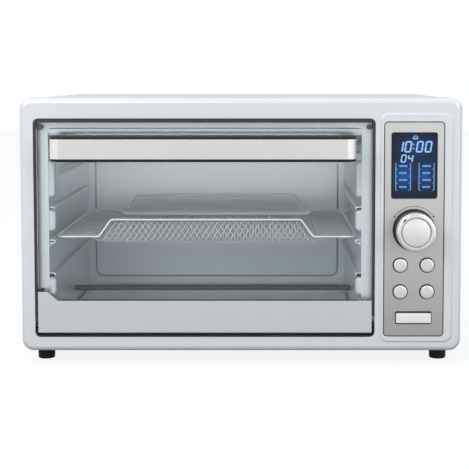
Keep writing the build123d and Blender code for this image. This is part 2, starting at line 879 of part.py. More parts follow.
with BuildPart() as heat_shield:
    shield_low = body_bottom + base_sheet + seat_gap
    shield_high = cover_top - cover_sheet - seat_gap
    with BuildSketch(side_plane(shield_x)):
        with Locations(((flange_back + cavity_back) / 2, body_mid)):
            Rectangle(cavity_back - flange_back, frame_inner_height - 2 * seat_gap)
        with Locations(((frame_depth + seat_gap + cavity_back) / 2, (shield_low + shield_high) / 2)):
            Rectangle(cavity_back - frame_depth - seat_gap, shield_high - shield_low)
        with Locations((fan_depth, fan_z)):
            Circle(shield_hole_radius, mode=Mode.SUBTRACT)
    extrude(amount=shield_sheet)
save(heat_shield, "heat_shield")


# Circulation fan: bladed disc on a motor shaft, drawing through the slots in the right wall

with BuildPart() as fan_blade:
    with BuildSketch(side_plane(fan_back_x - fan_sheet)):
        with Locations((fan_depth, fan_z)):
            Circle(fan_radius)
            Circle(fan_shaft_radius + lug_fit, mode=Mode.SUBTRACT)
    extrude(amount=fan_sheet)
    with BuildSketch(side_plane(fan_front_x)):
        with Locations((fan_depth, fan_z)):
            Circle(fan_hub_radius)
            with PolarLocations((fan_radius + fan_hub_radius) / 2 - 1, fan_blade_count):
                Rectangle(fan_radius - fan_hub_radius, 2 * fan_sheet, rotation=12)
            Circle(fan_shaft_radius + lug_fit, mode=Mode.SUBTRACT)
    extrude(amount=fan_blade_width)
save(fan_blade, "fan_blade")

motor_back_x = shield_back_x + motor_boss_reach + motor_thickness

with BuildPart() as fan_shaft:
    with BuildSketch(side_plane(fan_front_x)):
        with Locations((fan_depth, fan_z)):
            Circle(fan_shaft_radius)
    extrude(amount=motor_back_x - fan_front_x)
save(fan_shaft, "fan_shaft")

with BuildPart() as fan_motor:
    with BuildSketch(side_plane(shield_back_x)):
        with Locations((fan_depth, fan_z)):
            Circle(motor_boss_radius)
    extrude(amount=motor_boss_reach)
    with BuildSketch(side_plane(shield_back_x + motor_boss_reach)):
        with Locations((fan_depth, fan_z)):
            RectangleRounded(motor_width, motor_height, 3)
    extrude(amount=motor_thickness)
    with BuildSketch(side_plane(shield_back_x + motor_boss_reach + motor_thickness)):
        with Locations((fan_depth, fan_z)):
            Circle(motor_coil_radius)
    extrude(amount=motor_boss_reach / 2)
    with BuildSketch(side_plane(shield_back_x)):
        with Locations((fan_depth, fan_z)):
            Circle(fan_shaft_radius + running_fit)
    extrude(amount=motor_boss_reach + motor_thickness + seat_gap, mode=Mode.SUBTRACT)
save(fan_motor, "fan_motor")


# Control plate: brushed steel sheet with the window, knob, button and start openings

with BuildPart() as control_plate:
    with BuildSketch(front_plane(plate_front)):
        with Locations((plate_mid_x, plate_mid_z)):
            RectangleRounded(plate_width, plate_height, plate_corner)
        with Locations((plate_mid_x, window_z)):
            RectangleRounded(window_width, window_height, window_corner, mode=Mode.SUBTRACT)
        with Locations((plate_mid_x, knob_z)):
            Circle(encoder_bush_radius + shaft_hole_clearance, mode=Mode.SUBTRACT)
        with Locations(*button_places.values()):
            Circle(button_hole_radius, mode=Mode.SUBTRACT)
        with Locations((plate_mid_x, start_z)):
            RectangleRounded(start_width, start_height, start_corner, mode=Mode.SUBTRACT)
    extrude(amount=-plate_sheet)
save(control_plate, "control_plate")

with BuildPart() as display_window:
    with BuildSketch(front_plane(plate_front)):
        with Locations((plate_mid_x, window_z)):
            RectangleRounded(
                window_width - 2 * window_clearance,
                window_height - 2 * window_clearance,
                window_corner - window_clearance,
            )
    extrude(amount=-plate_sheet)
save(display_window, "display_window")

with BuildPart() as display_module:
    with BuildSketch(front_plane(frame_front_wall + seat_gap)):
        with Locations((plate_mid_x, window_z)):
            Rectangle(window_width, window_height)
    extrude(amount=-display_depth)
save(display_module, "display_module")

with BuildPart() as knob_ring:
    with BuildSketch(front_plane(plate_front)):
        with Locations((plate_mid_x, knob_z)):
            Circle(ring_radius)
            Circle(ring_inner_radius, mode=Mode.SUBTRACT)
    extrude(amount=ring_height)
save(knob_ring, "knob_ring")


# Knob: turned metal shell with a boss for the encoder shaft and a recess for its cap

knob_recess = knob_front + knob_cap_thickness - knob_cap_proud

with BuildPart() as knob:
    with BuildSketch(turned_plane(plate_mid_x, knob_z)):
        with BuildLine():
            Polyline(
                (0, knob_recess),
                (knob_cap_radius + lap_clearance, knob_recess),
                (knob_cap_radius + lap_clearance, knob_front),
                (knob_front_radius, knob_front),
                (knob_radius, knob_back),
                (knob_radius - knob_wall, knob_back),
                (knob_front_radius - knob_wall, knob_recess + knob_wall),
                (knob_boss_radius, knob_recess + knob_wall),
                (knob_boss_radius, knob_back),
                (0, knob_back),
                close=True,
            )
        make_face()
    revolve(axis=turning_axis(plate_mid_x, knob_z))
    rim = knob.edges().filter_by(GeomType.CIRCLE).group_by(Axis.Y)[0].sort_by(SortBy.RADIUS)[-1]
    fillet(rim, knob_edge_round)
    mark_middle = (knob_cap_radius + lap_clearance + knob_front_radius) / 2
    mark_x = plate_mid_x + mark_middle * cos(radians(knob_mark_angle))
    mark_z = knob_z + mark_middle * sin(radians(knob_mark_angle))
    with BuildSketch(front_plane(knob_front)):
        with Locations((mark_x, mark_z)):
            SlotOverall(knob_mark_length, knob_mark_width, rotation=knob_mark_angle + 90)
    extrude(amount=-knob_mark_depth, mode=Mode.SUBTRACT)
    with BuildSketch(front_plane(knob_back)):
        with Locations((plate_mid_x, knob_z)):
            Circle(encoder_shaft_radius + lug_fit)
    extrude(amount=encoder_shaft_in_knob, mode=Mode.SUBTRACT)
save(knob, "knob")

with BuildPart() as knob_cap:
    with BuildSketch(front_plane(knob_recess)):
        with Locations((plate_mid_x, knob_z)):
            Circle(knob_cap_radius)
    extrude(amount=knob_cap_thickness)
    chamfer(knob_cap.edges().group_by(Axis.Y)[0], 0.5)
save(knob_cap, "knob_cap")

encoder_front = board_depth - encoder_size / 2

with BuildPart() as encoder_shaft:
    with BuildSketch(front_plane(knob_back - encoder_shaft_in_knob + seat_gap)):
        with Locations((plate_mid_x, knob_z)):
            Circle(encoder_shaft_radius)
    extrude(amount=-(encoder_front + encoder_size / 4 - knob_back + encoder_shaft_in_knob - seat_gap))
save(encoder_shaft, "encoder_shaft")

with BuildPart() as encoder_body:
    with BuildSketch(front_plane(encoder_front)):
        with Locations((plate_mid_x, knob_z)):
            Rectangle(encoder_size, encoder_size)
    extrude(amount=-(board_depth - encoder_front))
    with BuildSketch(front_plane(encoder_front)):
        with Locations((plate_mid_x, knob_z)):
            Circle(encoder_bush_radius)
    extrude(amount=encoder_front - frame_front_wall)
    with BuildSketch(front_plane(frame_front_wall)):
        with Locations((plate_mid_x, knob_z)):
            Circle(encoder_shaft_radius + running_fit)
    extrude(amount=-(encoder_front + encoder_size / 4 + seat_gap - frame_front_wall), mode=Mode.SUBTRACT)
save(encoder_body, "encoder_body")


# Buttons: domed caps with a collar behind the frame wall and a stem towards the switch


def push_button(x, z):
    for radius, front, back in (
        (button_radius, plate_front - button_proud, collar_front),
        (button_radius + button_collar, collar_front, collar_back),
        (button_stem_radius, collar_back, stem_back),
    ):
        with BuildSketch(front_plane(front)) as disc:
            with Locations((x, z)):
                Circle(radius)
        extrude(disc.sketch, amount=front - back)


for button_name, (button_x, button_z) in button_places.items():
    with BuildPart() as round_button:
        push_button(button_x, button_z)
        fillet(round_button.edges().group_by(Axis.Y)[0], button_dome)
    save(round_button, button_name)

with BuildPart() as start_button:
    with BuildSketch(front_plane(plate_front - button_proud)):
        with Locations((plate_mid_x, start_z)):
            RectangleRounded(
                start_width - 2 * button_clearance, start_height - 2 * button_clearance, start_corner
            )
    extrude(amount=-(collar_front - plate_front + button_proud))
    fillet(start_button.edges().group_by(Axis.Y)[0], button_dome)
    with BuildSketch(front_plane(collar_front)):
        with Locations((plate_mid_x, start_z)):
            Rectangle(start_width + button_collar, start_height + button_collar)
    extrude(amount=-button_collar_thickness)
    with BuildSketch(front_plane(collar_back)):
        with Locations((plate_mid_x, start_z)):
            Circle(button_stem_radius)
    extrude(amount=-(stem_back - collar_back))
save(start_button, "start_button")


# Control board on four posts behind the frame wall, with a push switch behind every button

board_low = start_z - board_below_start
board_high = knob_z + board_above_knob
board_mid = (board_low + board_high) / 2
switch_places = [*button_places.values(), (plate_mid_x, start_z)]

with BuildPart() as control_board:
    with BuildSketch(front_plane(board_depth)):
        with Locations((plate_mid_x, board_mid)):
            Rectangle(board_width, board_high - board_low)
    extrude(amount=-board_sheet)
save(control_board, "control_board")

with BuildPart() as board_posts:
    with BuildSketch(front_plane(frame_front_wall)):
        with Locations((plate_mid_x, board_mid)):
            with GridLocations(
                board_width - board_post_inset, board_high - board_low - 2 * board_post_inset, 2, 2
            ):
                Circle(board_post_radius)
    extrude(amount=-(board_depth - frame_front_wall))
save(board_posts, "board_posts")

with BuildPart() as push_switches:
    with BuildSketch(front_plane(board_depth)):
        with Locations(*switch_places):
            Rectangle(switch_size, switch_size)
    extrude(amount=switch_height)
    with BuildSketch(front_plane(board_depth - switch_height)):
        with Locations(*switch_places):
            Circle(switch_plunger_radius)
    extrude(amount=board_depth - switch_height - plunger_tip)
save(push_switches, "push_switches")


# Power board on standoffs beside the heat shield, with its relays, transformer and capacitor

power_board_x = shield_back_x + power_board_standoff
power_mid_depth = power_board_front + power_board_length / 2
power_mid_z = body_bottom + power_board_bottom + power_board_height / 2

with BuildPart() as power_board:
    with BuildSketch(side_plane(power_board_x)):
        with Locations((power_mid_depth, power_mid_z)):
            Rectangle(power_board_length, power_board_height)
    extrude(amount=board_sheet)
    parts_x = power_board_x + board_sheet
    with BuildSketch(side_plane(parts_x)):
        with Locations((power_mid_depth - power_board_length / 4, power_mid_z + power_board_height / 4)):
            Rectangle(transformer_size[0], transformer_size[1])
    extrude(amount=transformer_size[2])
    with BuildSketch(side_plane(parts_x)):
        with Locations((power_mid_depth + power_board_length / 4, power_mid_z)):
            with GridLocations(1, 2 * relay_size[1], 1, 2):
                Rectangle(relay_size[0], relay_size[1])
    extrude(amount=relay_size[2])
    with BuildSketch(side_plane(parts_x)):
        with Locations((power_mid_depth - power_board_length / 4, power_mid_z - power_board_height / 4)):
            Circle(capacitor_radius)
    extrude(amount=capacitor_length)
save(power_board, "power_board")

with BuildPart() as board_standoffs:
    with BuildSketch(side_plane(shield_back_x)):
        with Locations((power_mid_depth, power_mid_z)):
            with GridLocations(
                power_board_length - 2 * board_post_inset, power_board_height - 2 * board_post_inset, 2, 2
            ):
                Circle(standoff_radius)
    extrude(amount=power_board_standoff)
save(board_standoffs, "board_standoffs")


# Cord entry: terminal block on the base and a flanged gland in the rear cover

with BuildPart() as terminal_block:
    with BuildSketch(level_plane(body_bottom + base_sheet)):
        with Locations((gland_x, rear_plate_back - rear_flange - terminal_size[1])):
            Rectangle(terminal_size[0], terminal_size[1])
    extrude(amount=terminal_size[2])
    with BuildSketch(level_plane(body_bottom + base_sheet + terminal_size[2])):
        with Locations((gland_x, rear_plate_back - rear_flange - terminal_size[1])):
            with GridLocations(terminal_size[0] / 3, 1, 3, 1):
                Circle(terminal_size[0] / 10)
    extrude(amount=-terminal_size[2] / 2, mode=Mode.SUBTRACT)
save(terminal_block, "terminal_block")

with BuildPart() as cord_gland:
    with BuildSketch(turned_plane(gland_x, gland_z)):
        with BuildLine():
            Polyline(
                (gland_bore_radius, rear_plate_front - gland_flange),
                (gland_neck_radius, rear_plate_front - gland_flange),
                (gland_neck_radius, rear_plate_back),
                (gland_flange_radius, rear_plate_back),
                (gland_flange_radius, rear_plate_back + gland_flange),
                (gland_neck_radius, rear_plate_back + gland_flange),
                (gland_neck_radius - 1, rear_plate_back + gland_reach),
                (gland_bore_radius, rear_plate_back + gland_reach),
                close=True,
            )
        make_face()
    revolve(axis=turning_axis(gland_x, gland_z))
save(cord_gland, "cord_gland")


# Door: glass pane, folded lower channel with its painted front, hinge lugs and pins

handle_mid_x = opening_mid_x
handle_leg_x = handle_width / 2 - handle_leg_width / 2
handle_screw_places = [(handle_mid_x - handle_leg_x, handle_z), (handle_mid_x + handle_leg_x, handle_z)]

with BuildPart() as door_glass:
    with BuildSketch(front_plane(glass_recess)):
        with Locations((opening_mid_x, (lug_top + seat_gap + door_high) / 2)):
            RectangleRounded(door_right - door_left, door_high - lug_top - seat_gap, glass_corner)
        with Locations(*handle_screw_places):
            Circle(handle_screw_radius + 2 * screw_hole_clearance, mode=Mode.SUBTRACT)
    extrude(amount=-glass_thickness)
save(door_glass, "door_glass")

channel_top = door_low + door_channel_height

with BuildPart() as door_panel:
    with BuildSketch(side_plane(door_left)):
        with BuildLine():
            FilletPolyline(
                (0, channel_top),
                (0, door_low),
                (door_depth, door_low),
                (door_depth, channel_top),
                radius=[door_toe_radius, door_heel_radius],
            )
            Line((door_depth, channel_top), (0, channel_top))
        make_face()
    extrude(amount=door_right - door_left)
    with BuildSketch(side_plane(door_left)):
        with BuildLine():
            FilletPolyline(
                (door_sheet, channel_top - door_sheet),
                (door_sheet, door_low + door_sheet),
                (door_depth - door_sheet, door_low + door_sheet),
                (door_depth - door_sheet, channel_top - door_sheet),
                radius=[door_toe_radius - door_sheet / 2, door_heel_radius - door_sheet],
            )
            Line((door_depth - door_sheet, channel_top - door_sheet), (door_sheet, channel_top - door_sheet))
        make_face()
        with Locations(((door_sheet + glass_back + glass_clearance) / 2, channel_top - door_sheet / 2)):
            Rectangle(glass_back + glass_clearance - door_sheet, 3 * door_sheet)
    extrude(amount=door_right - door_left, mode=Mode.SUBTRACT)
    panel_top = door_low + panel_height
    ear_top = door_low + panel_ear_height
    with BuildSketch(front_plane(0)):
        Polygon(
            (door_left, channel_top - door_sheet),
            (door_right, channel_top - door_sheet),
            (door_right, panel_top),
            (door_left + panel_ear_width + panel_ear_slope, panel_top),
            (door_left + panel_ear_width, ear_top),
            (door_left, ear_top),
            align=None,
        )
    extrude(amount=-door_sheet)
save(door_panel, "door_panel")

with BuildPart() as hinge_lugs:
    with BuildSketch(side_plane(door_left)):
        with Locations((door_depth / 2, (door_low + door_sheet + lug_top) / 2)):
            Rectangle(door_depth - 2 * door_sheet - 2 * lap_clearance, lug_height - lap_clearance)
    extrude(amount=lug_width)
    fillet(hinge_lugs.edges().filter_by(Axis.X).group_by(Axis.Z)[0], door_heel_radius - door_sheet)
    mirror(about=Plane(origin=(opening_mid_x, 0, 0), z_dir=(1, 0, 0)))
    with BuildSketch(side_plane(door_left)):
        with Locations((hinge_back, hinge_z)):
            Circle(hinge_pin_radius + lug_fit)
    extrude(amount=door_right - door_left, mode=Mode.SUBTRACT)
save(hinge_lugs, "hinge_lugs")

bracket_left = skirt_outer_left - seat_gap - hinge_bracket_sheet
pin_end_left = bracket_left - 1

with BuildPart() as hinge_pins:
    with BuildSketch(side_plane(pin_end_left)):
        with Locations((hinge_back, hinge_z)):
            Circle(hinge_pin_radius)
    extrude(amount=door_left + hinge_pin_in_lug - pin_end_left)
    mirror(about=Plane(origin=(opening_mid_x, 0, 0), z_dir=(1, 0, 0)))
save(hinge_pins, "hinge_pins")

with BuildPart() as hinge_brackets:
    bracket_front = frame_front_wall + seat_gap
    with BuildSketch(side_plane(bracket_left)):
        with BuildLine():
            FilletPolyline(
                (flange_front, hinge_z - hinge_bracket_rise),
                (bracket_front, hinge_z - hinge_bracket_rise),
                (bracket_front, hinge_z + hinge_bracket_rise),
                (flange_front, hinge_z + hinge_bracket_rise),
                radius=4,
            )
            Line((flange_front, hinge_z + hinge_bracket_rise), (flange_front, hinge_z - hinge_bracket_rise))
        make_face()
        with Locations((hinge_back, hinge_z)):
            Circle(hinge_pin_radius + running_fit, mode=Mode.SUBTRACT)
    extrude(amount=hinge_bracket_sheet)
    with BuildSketch(front_plane(flange_front)):
        with Locations((bracket_left - hinge_bracket_foot / 2, hinge_z)):
            Rectangle(hinge_bracket_foot, 2 * hinge_bracket_rise)
    extrude(amount=hinge_bracket_foot_sheet)
    mirror(about=Plane(origin=(opening_mid_x, 0, 0), z_dir=(1, 0, 0)))
save(hinge_brackets, "hinge_brackets")

with BuildPart() as door_bumpers:
    with BuildSketch(front_plane(flange_front)):
        with Locations((opening_mid_x, door_high - bumper_drop)):
            with GridLocations(cavity_width + 2 * bumper_inset, 1, 2, 1):
                Circle(bumper_radius)
    extrude(amount=flange_front - glass_back - seat_gap)
    fillet(door_bumpers.edges().group_by(Axis.Y)[0], 1)
save(door_bumpers, "door_bumpers")


# Handle: dark moulded core bent back to the glass at both ends, with a steel strip laid in its front


def handle_outline(inset, back):
    # plan of the bar seen from above, shrunk by inset, ending at a depth
    half = handle_width / 2 - inset
    with BuildLine() as outline:
        FilletPolyline(
            (handle_mid_x - half, back),
            (handle_mid_x - half, inset - handle_reach),
            (handle_mid_x + half, inset - handle_reach),
            (handle_mid_x + half, back),
            radius=handle_end_radius - inset,
        )
        Line((handle_mid_x + half, back), (handle_mid_x - half, back))
    return outline.edges()


strip_back = handle_strip_return - handle_reach
groove_bottom = handle_strip_sheet + strip_clearance
grip_front = handle_strip_proud + handle_core_thickness - handle_reach
grip_half = handle_width / 2 - handle_leg_width

with BuildPart() as handle_core:
    with BuildSketch(level_plane(handle_z - handle_core_height / 2)):
        make_face(handle_outline(handle_strip_proud, glass_recess))
    extrude(amount=handle_core_height)
    front_edges = handle_core.edges().filter_by(Axis.X).group_by(Axis.Y)[0]
    fillet(front_edges, core_edge_round)
    with BuildSketch(level_plane(handle_z - handle_core_height / 2)):
        with BuildLine():
            FilletPolyline(
                (handle_mid_x - grip_half, glass_recess),
                (handle_mid_x - grip_half, grip_front),
                (handle_mid_x + grip_half, grip_front),
                (handle_mid_x + grip_half, glass_recess),
                radius=handle_grip_radius,
            )
            Line((handle_mid_x + grip_half, glass_recess), (handle_mid_x - grip_half, glass_recess))
        make_face()
    extrude(amount=handle_core_height, mode=Mode.SUBTRACT)
    with BuildSketch(level_plane(handle_z - handle_height / 2 - strip_clearance)):
        make_face(handle_outline(-1, strip_back + strip_clearance))
        make_face(handle_outline(groove_bottom, strip_back + strip_clearance), mode=Mode.SUBTRACT)
    extrude(amount=handle_height + 2 * strip_clearance, mode=Mode.SUBTRACT)
    with BuildSketch(front_plane(glass_recess)):
        with Locations(*handle_screw_places):
            Circle(handle_screw_radius + running_fit)
    extrude(amount=handle_screw_depth + seat_gap, mode=Mode.SUBTRACT)
save(handle_core, "handle_core")

with BuildPart() as handle_bar:
    with BuildSketch(level_plane(handle_z - handle_height / 2)):
        make_face(handle_outline(0, strip_back))
        make_face(handle_outline(handle_strip_sheet, strip_back), mode=Mode.SUBTRACT)
    extrude(amount=handle_height)
save(handle_bar, "handle_bar")

with BuildPart() as handle_screws:
    with BuildSketch(front_plane(glass_back)):
        with Locations(*handle_screw_places):
            Circle(handle_screw_head_radius)
    extrude(amount=-handle_screw_head)
    with BuildSketch(front_plane(glass_back)):
        with Locations(*handle_screw_places):
            Circle(handle_screw_radius)
    extrude(amount=handle_screw_depth + glass_thickness)
save(handle_screws, "handle_screws")


# Door arm: its edge curve is the path of the flange slot seen from the arm as the door swings


def turned(point, degrees):
    # a point in the plane of depth and height, turned about the origin
    angle = radians(degrees)
    back, up = point
    return (back * cos(angle) - up * sin(angle), back * sin(angle) + up * cos(angle))


def arm_centre(door_angle):
    # where the slot lies on the arm at a door angle, drawn on the closed door
    pin_back, pin_up = turned((arm_pin_back, arm_pin_up), door_angle)
    slot_back = flange_front + flange_sheet / 2 - hinge_back
    from_pin = (slot_back - pin_back, arm_slot_up - pin_up)
    along, above = turned(from_pin, -arm_lift_ratio * door_angle)
    return Vector(hinge_back + arm_pin_back + along, hinge_z + arm_pin_up + above)


arm_pin_depth = hinge_back + arm_pin_back
arm_pin_z = hinge_z + arm_pin_up
arm_head = Vector(arm_pin_depth, arm_pin_z)
arm_path = [arm_centre(door_open_angle * share / 4) for share in range(1, 5)]
tail_direction = (arm_path[-1] - arm_path[-2]).normalized()
arm_path = [arm_head, *arm_path, arm_path[-1] + tail_direction * arm_tail]
arm_upper = []
arm_lower = []
for place in range(len(arm_path)):
    before = arm_path[max(place - 1, 0)]
    after = arm_path[min(place + 1, len(arm_path) - 1)]
    along_arm = (after - before).normalized()
    square = Vector(-along_arm.Y, along_arm.X) * (arm_height / 2)
    arm_upper.append(arm_path[place] + square)
    arm_lower.append(arm_path[place] - square)

with BuildPart() as door_arm:
    with BuildSketch(side_plane(arm_x)):
        with BuildLine():
            Spline(*arm_upper)
            Line(arm_upper[-1], arm_lower[-1])
            Spline(*arm_lower)
            head_direction = (arm_path[1] - arm_path[0]).normalized()
            ThreePointArc(arm_lower[0], arm_head - head_direction * (arm_height / 2), arm_upper[0])
        make_face()
        with Locations((arm_pin_depth, arm_pin_z)):
            Circle(arm_pin_radius + running_fit, mode=Mode.SUBTRACT)
        with Locations(arm_path[-1] - tail_direction * arm_height / 2):
            Circle(arm_height / 5, mode=Mode.SUBTRACT)
    extrude(amount=arm_sheet)
save(door_arm, "door_arm")

bracket_x = arm_x + arm_sheet + seat_gap

with BuildPart() as arm_bracket:
    with BuildSketch(side_plane(bracket_x)):
        with Locations((arm_pin_depth - 1, channel_top)):
            Rectangle(6, arm_pin_z + 4 - channel_top, align=(Align.CENTER, Align.MIN))
        with Locations((arm_pin_depth, arm_pin_z)):
            Circle(arm_pin_radius + lug_fit, mode=Mode.SUBTRACT)
    extrude(amount=arm_bracket_sheet)
    with BuildSketch(side_plane(bracket_x)):
        with Locations((arm_pin_depth - 1, channel_top)):
            Rectangle(6, arm_bracket_sheet, align=(Align.CENTER, Align.MIN))
    extrude(amount=12)
save(arm_bracket, "arm_bracket")

with BuildPart() as arm_rivet:
    rivet_left = arm_x - seat_gap
    rivet_right = bracket_x + arm_bracket_sheet
    with BuildSketch(side_plane(rivet_left)):
        with Locations((arm_pin_depth, arm_pin_z)):
            Circle(arm_pin_radius)
    extrude(amount=rivet_right - rivet_left)
    with BuildSketch(side_plane(rivet_left - arm_rivet_head)):
        with Locations((arm_pin_depth, arm_pin_z)):
            Circle(arm_rivet_head_radius)
    extrude(amount=arm_rivet_head)
    with BuildSketch(side_plane(rivet_right)):
        with Locations((arm_pin_depth, arm_pin_z)):
            Circle(arm_rivet_head_radius - 0.6)
    extrude(amount=arm_rivet_head)
save(arm_rivet, "arm_rivet")


# Basket: wire rim that lies on the rails and climbs at the front and back, with a bent mesh tray

with BuildPart() as basket_rim:
    with BuildLine() as half_rim:
        FilletPolyline(
            (basket_right, front_y + basket_mid_depth, basket_wire_z),
            (basket_right, front_y + basket_front, basket_wire_z),
            (opening_mid_x + basket_ramp_outer, front_y + basket_front, basket_wire_z),
            (opening_mid_x + basket_ramp_inner, front_y + basket_front, basket_high_z),
            (opening_mid_x - basket_ramp_inner, front_y + basket_front, basket_high_z),
            (opening_mid_x - basket_ramp_outer, front_y + basket_front, basket_wire_z),
            (basket_left, front_y + basket_front, basket_wire_z),
            (basket_left, front_y + basket_mid_depth, basket_wire_z),
            radius=[basket_corner, basket_bend, basket_bend, basket_bend, basket_bend, basket_corner],
        )
    with BuildSketch(Plane(origin=half_rim.line @ 0, z_dir=half_rim.line % 0)):
        Circle(basket_wire_radius)
    sweep(path=half_rim.line)
    mirror(about=Plane(origin=(0, front_y + basket_mid_depth, 0), z_dir=(0, 1, 0)))
save(basket_rim, "basket_rim")


def mesh_diamonds(pitch_x, pitch_y, columns, rows, width, length):
    # two staggered fields of diamond holes
    half_width = width / 2
    half_length = length / 2
    corners = ((half_width, 0), (0, half_length), (-half_width, 0), (0, -half_length))
    with GridLocations(pitch_x, pitch_y, columns, rows):
        Polygon(*corners, align=None)
    with GridLocations(pitch_x, pitch_y, columns - 1, rows - 1):
        Polygon(*corners, align=None)


mesh_front = basket_front + basket_wire_radius + mesh_wire_gap
mesh_back = basket_back - basket_wire_radius - mesh_wire_gap
mesh_half = (basket_right - basket_left) / 2 - basket_wire_radius - mesh_wire_gap
mesh_wing_inner = (basket_right - basket_left) / 2 - mesh_wing_width
mesh_wall_top = basket_high_z - basket_wire_radius - mesh_wire_gap
ramp_slope = (basket_ramp_outer - basket_ramp_inner) / basket_rise
mesh_wall_low_half = basket_ramp_outer - 1.5 * basket_wire_radius
mesh_wall_high_half = mesh_wall_low_half - ramp_slope * (mesh_wall_top - mesh_floor_z)
mesh_floor_columns = int(2 * mesh_half / (mesh_hole_width + mesh_strand_x))
mesh_floor_rows = int((mesh_back - mesh_front) / (mesh_hole_length + mesh_strand_y))
mesh_wall_pitch = mesh_wall_hole_width + mesh_wall_strand
mesh_wall_columns = int((mesh_wall_low_half + mesh_wall_high_half) / mesh_wall_pitch)

with BuildPart() as basket_mesh:
    with BuildSketch(front_plane(mesh_front)):
        Polygon(
            (opening_mid_x - mesh_half, basket_wire_z),
            (opening_mid_x - mesh_wing_inner, mesh_floor_z),
            (opening_mid_x + mesh_wing_inner, mesh_floor_z),
            (opening_mid_x + mesh_half, basket_wire_z),
            (opening_mid_x + mesh_half, basket_wire_z - mesh_sheet),
            (opening_mid_x + mesh_wing_inner, mesh_floor_z - mesh_sheet),
            (opening_mid_x - mesh_wing_inner, mesh_floor_z - mesh_sheet),
            (opening_mid_x - mesh_half, basket_wire_z - mesh_sheet),
            align=None,
        )
    extrude(amount=-(mesh_back - mesh_front))
    with BuildSketch(level_plane(mesh_floor_z - 2 * mesh_sheet)):
        with Locations((opening_mid_x, basket_mid_depth)):
            RectangleRounded(
                2 * mesh_half, mesh_back - mesh_front, basket_corner - basket_wire_radius - mesh_wire_gap
            )
    extrude(amount=mesh_drop + 4 * mesh_sheet, mode=Mode.INTERSECT)
    with BuildSketch(level_plane(mesh_floor_z - 2 * mesh_sheet)):
        with Locations((opening_mid_x, basket_mid_depth)):
            mesh_diamonds(
                mesh_hole_width + mesh_strand_x,
                mesh_hole_length + mesh_strand_y,
                mesh_floor_columns,
                mesh_floor_rows,
                mesh_hole_width,
                mesh_hole_length,
            )
    extrude(amount=mesh_drop + 4 * mesh_sheet, mode=Mode.SUBTRACT)
    for wall_depth in (mesh_front, mesh_back - mesh_sheet):
        with BuildSketch(front_plane(wall_depth)):
            Polygon(
                (opening_mid_x - mesh_wall_low_half, mesh_floor_z - mesh_sheet),
                (opening_mid_x + mesh_wall_low_half, mesh_floor_z - mesh_sheet),
                (opening_mid_x + mesh_wall_high_half, mesh_wall_top),
                (opening_mid_x - mesh_wall_high_half, mesh_wall_top),
                align=None,
            )
            with Locations((opening_mid_x, (mesh_floor_z + mesh_wall_top) / 2)):
                with GridLocations(mesh_wall_pitch, 1, mesh_wall_columns, 1):
                    Polygon(
                        (mesh_wall_hole_width / 2, 0),
                        (0, mesh_wall_hole_height / 2),
                        (-mesh_wall_hole_width / 2, 0),
                        (0, -mesh_wall_hole_height / 2),
                        align=None,
                        mode=Mode.SUBTRACT,
                    )
        extrude(amount=-mesh_sheet)
save(basket_mesh, "basket_mesh")
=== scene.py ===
import json
from functools import partial
from math import cos, pi, radians, sin

import bmesh
import bpy
from mathutils import Matrix, Vector

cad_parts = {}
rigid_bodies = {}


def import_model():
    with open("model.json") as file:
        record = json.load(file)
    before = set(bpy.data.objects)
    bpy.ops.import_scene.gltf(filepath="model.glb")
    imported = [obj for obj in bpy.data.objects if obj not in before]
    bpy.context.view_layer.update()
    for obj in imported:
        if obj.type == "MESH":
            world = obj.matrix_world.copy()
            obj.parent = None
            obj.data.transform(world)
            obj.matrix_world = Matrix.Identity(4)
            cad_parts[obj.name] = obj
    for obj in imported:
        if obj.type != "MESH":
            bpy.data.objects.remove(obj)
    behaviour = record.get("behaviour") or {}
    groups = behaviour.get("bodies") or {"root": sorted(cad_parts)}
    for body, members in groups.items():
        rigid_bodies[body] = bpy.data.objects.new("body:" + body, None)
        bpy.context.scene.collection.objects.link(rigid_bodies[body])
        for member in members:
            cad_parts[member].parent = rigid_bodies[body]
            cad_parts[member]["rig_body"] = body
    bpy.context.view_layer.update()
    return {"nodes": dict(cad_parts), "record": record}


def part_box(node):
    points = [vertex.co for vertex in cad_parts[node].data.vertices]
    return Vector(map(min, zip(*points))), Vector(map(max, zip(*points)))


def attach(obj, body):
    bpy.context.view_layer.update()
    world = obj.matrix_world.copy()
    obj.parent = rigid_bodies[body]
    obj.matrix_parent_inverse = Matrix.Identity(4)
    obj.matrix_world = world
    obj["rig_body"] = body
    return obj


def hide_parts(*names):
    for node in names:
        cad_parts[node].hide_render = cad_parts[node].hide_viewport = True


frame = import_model()

# Studio: a pale worktop that runs out to a white background, and a camera a little above the oven.
# Two soft boxes stand in front, one hangs above and a flat beam lights the cavity. Reflections see
# a grey room with bright cards at its sides.

flange_setback = 0.015
front_face_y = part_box("front_flange")[0].y - flange_setback


def put_in_scene(name, data):
    thing = bpy.data.objects.new(name, data)
    bpy.context.scene.collection.objects.link(thing)
    return thing


camera_x, camera_reach, camera_height, camera_dip = 0.03133, 1.3845, 0.32878, 4
camera_data = bpy.data.cameras.new("camera")
camera_data.sensor_width = 36
camera_data.lens = 94.47
camera_data.shift_x = -0.0731
camera_data.shift_y = -0.155
camera = put_in_scene("camera", camera_data)
camera.location = (camera_x, front_face_y - camera_reach, camera_height)
camera.rotation_euler = (radians(90 - camera_dip), 0, 0)
bpy.context.scene.camera = camera
bpy.context.scene.view_settings.view_transform = "Standard"


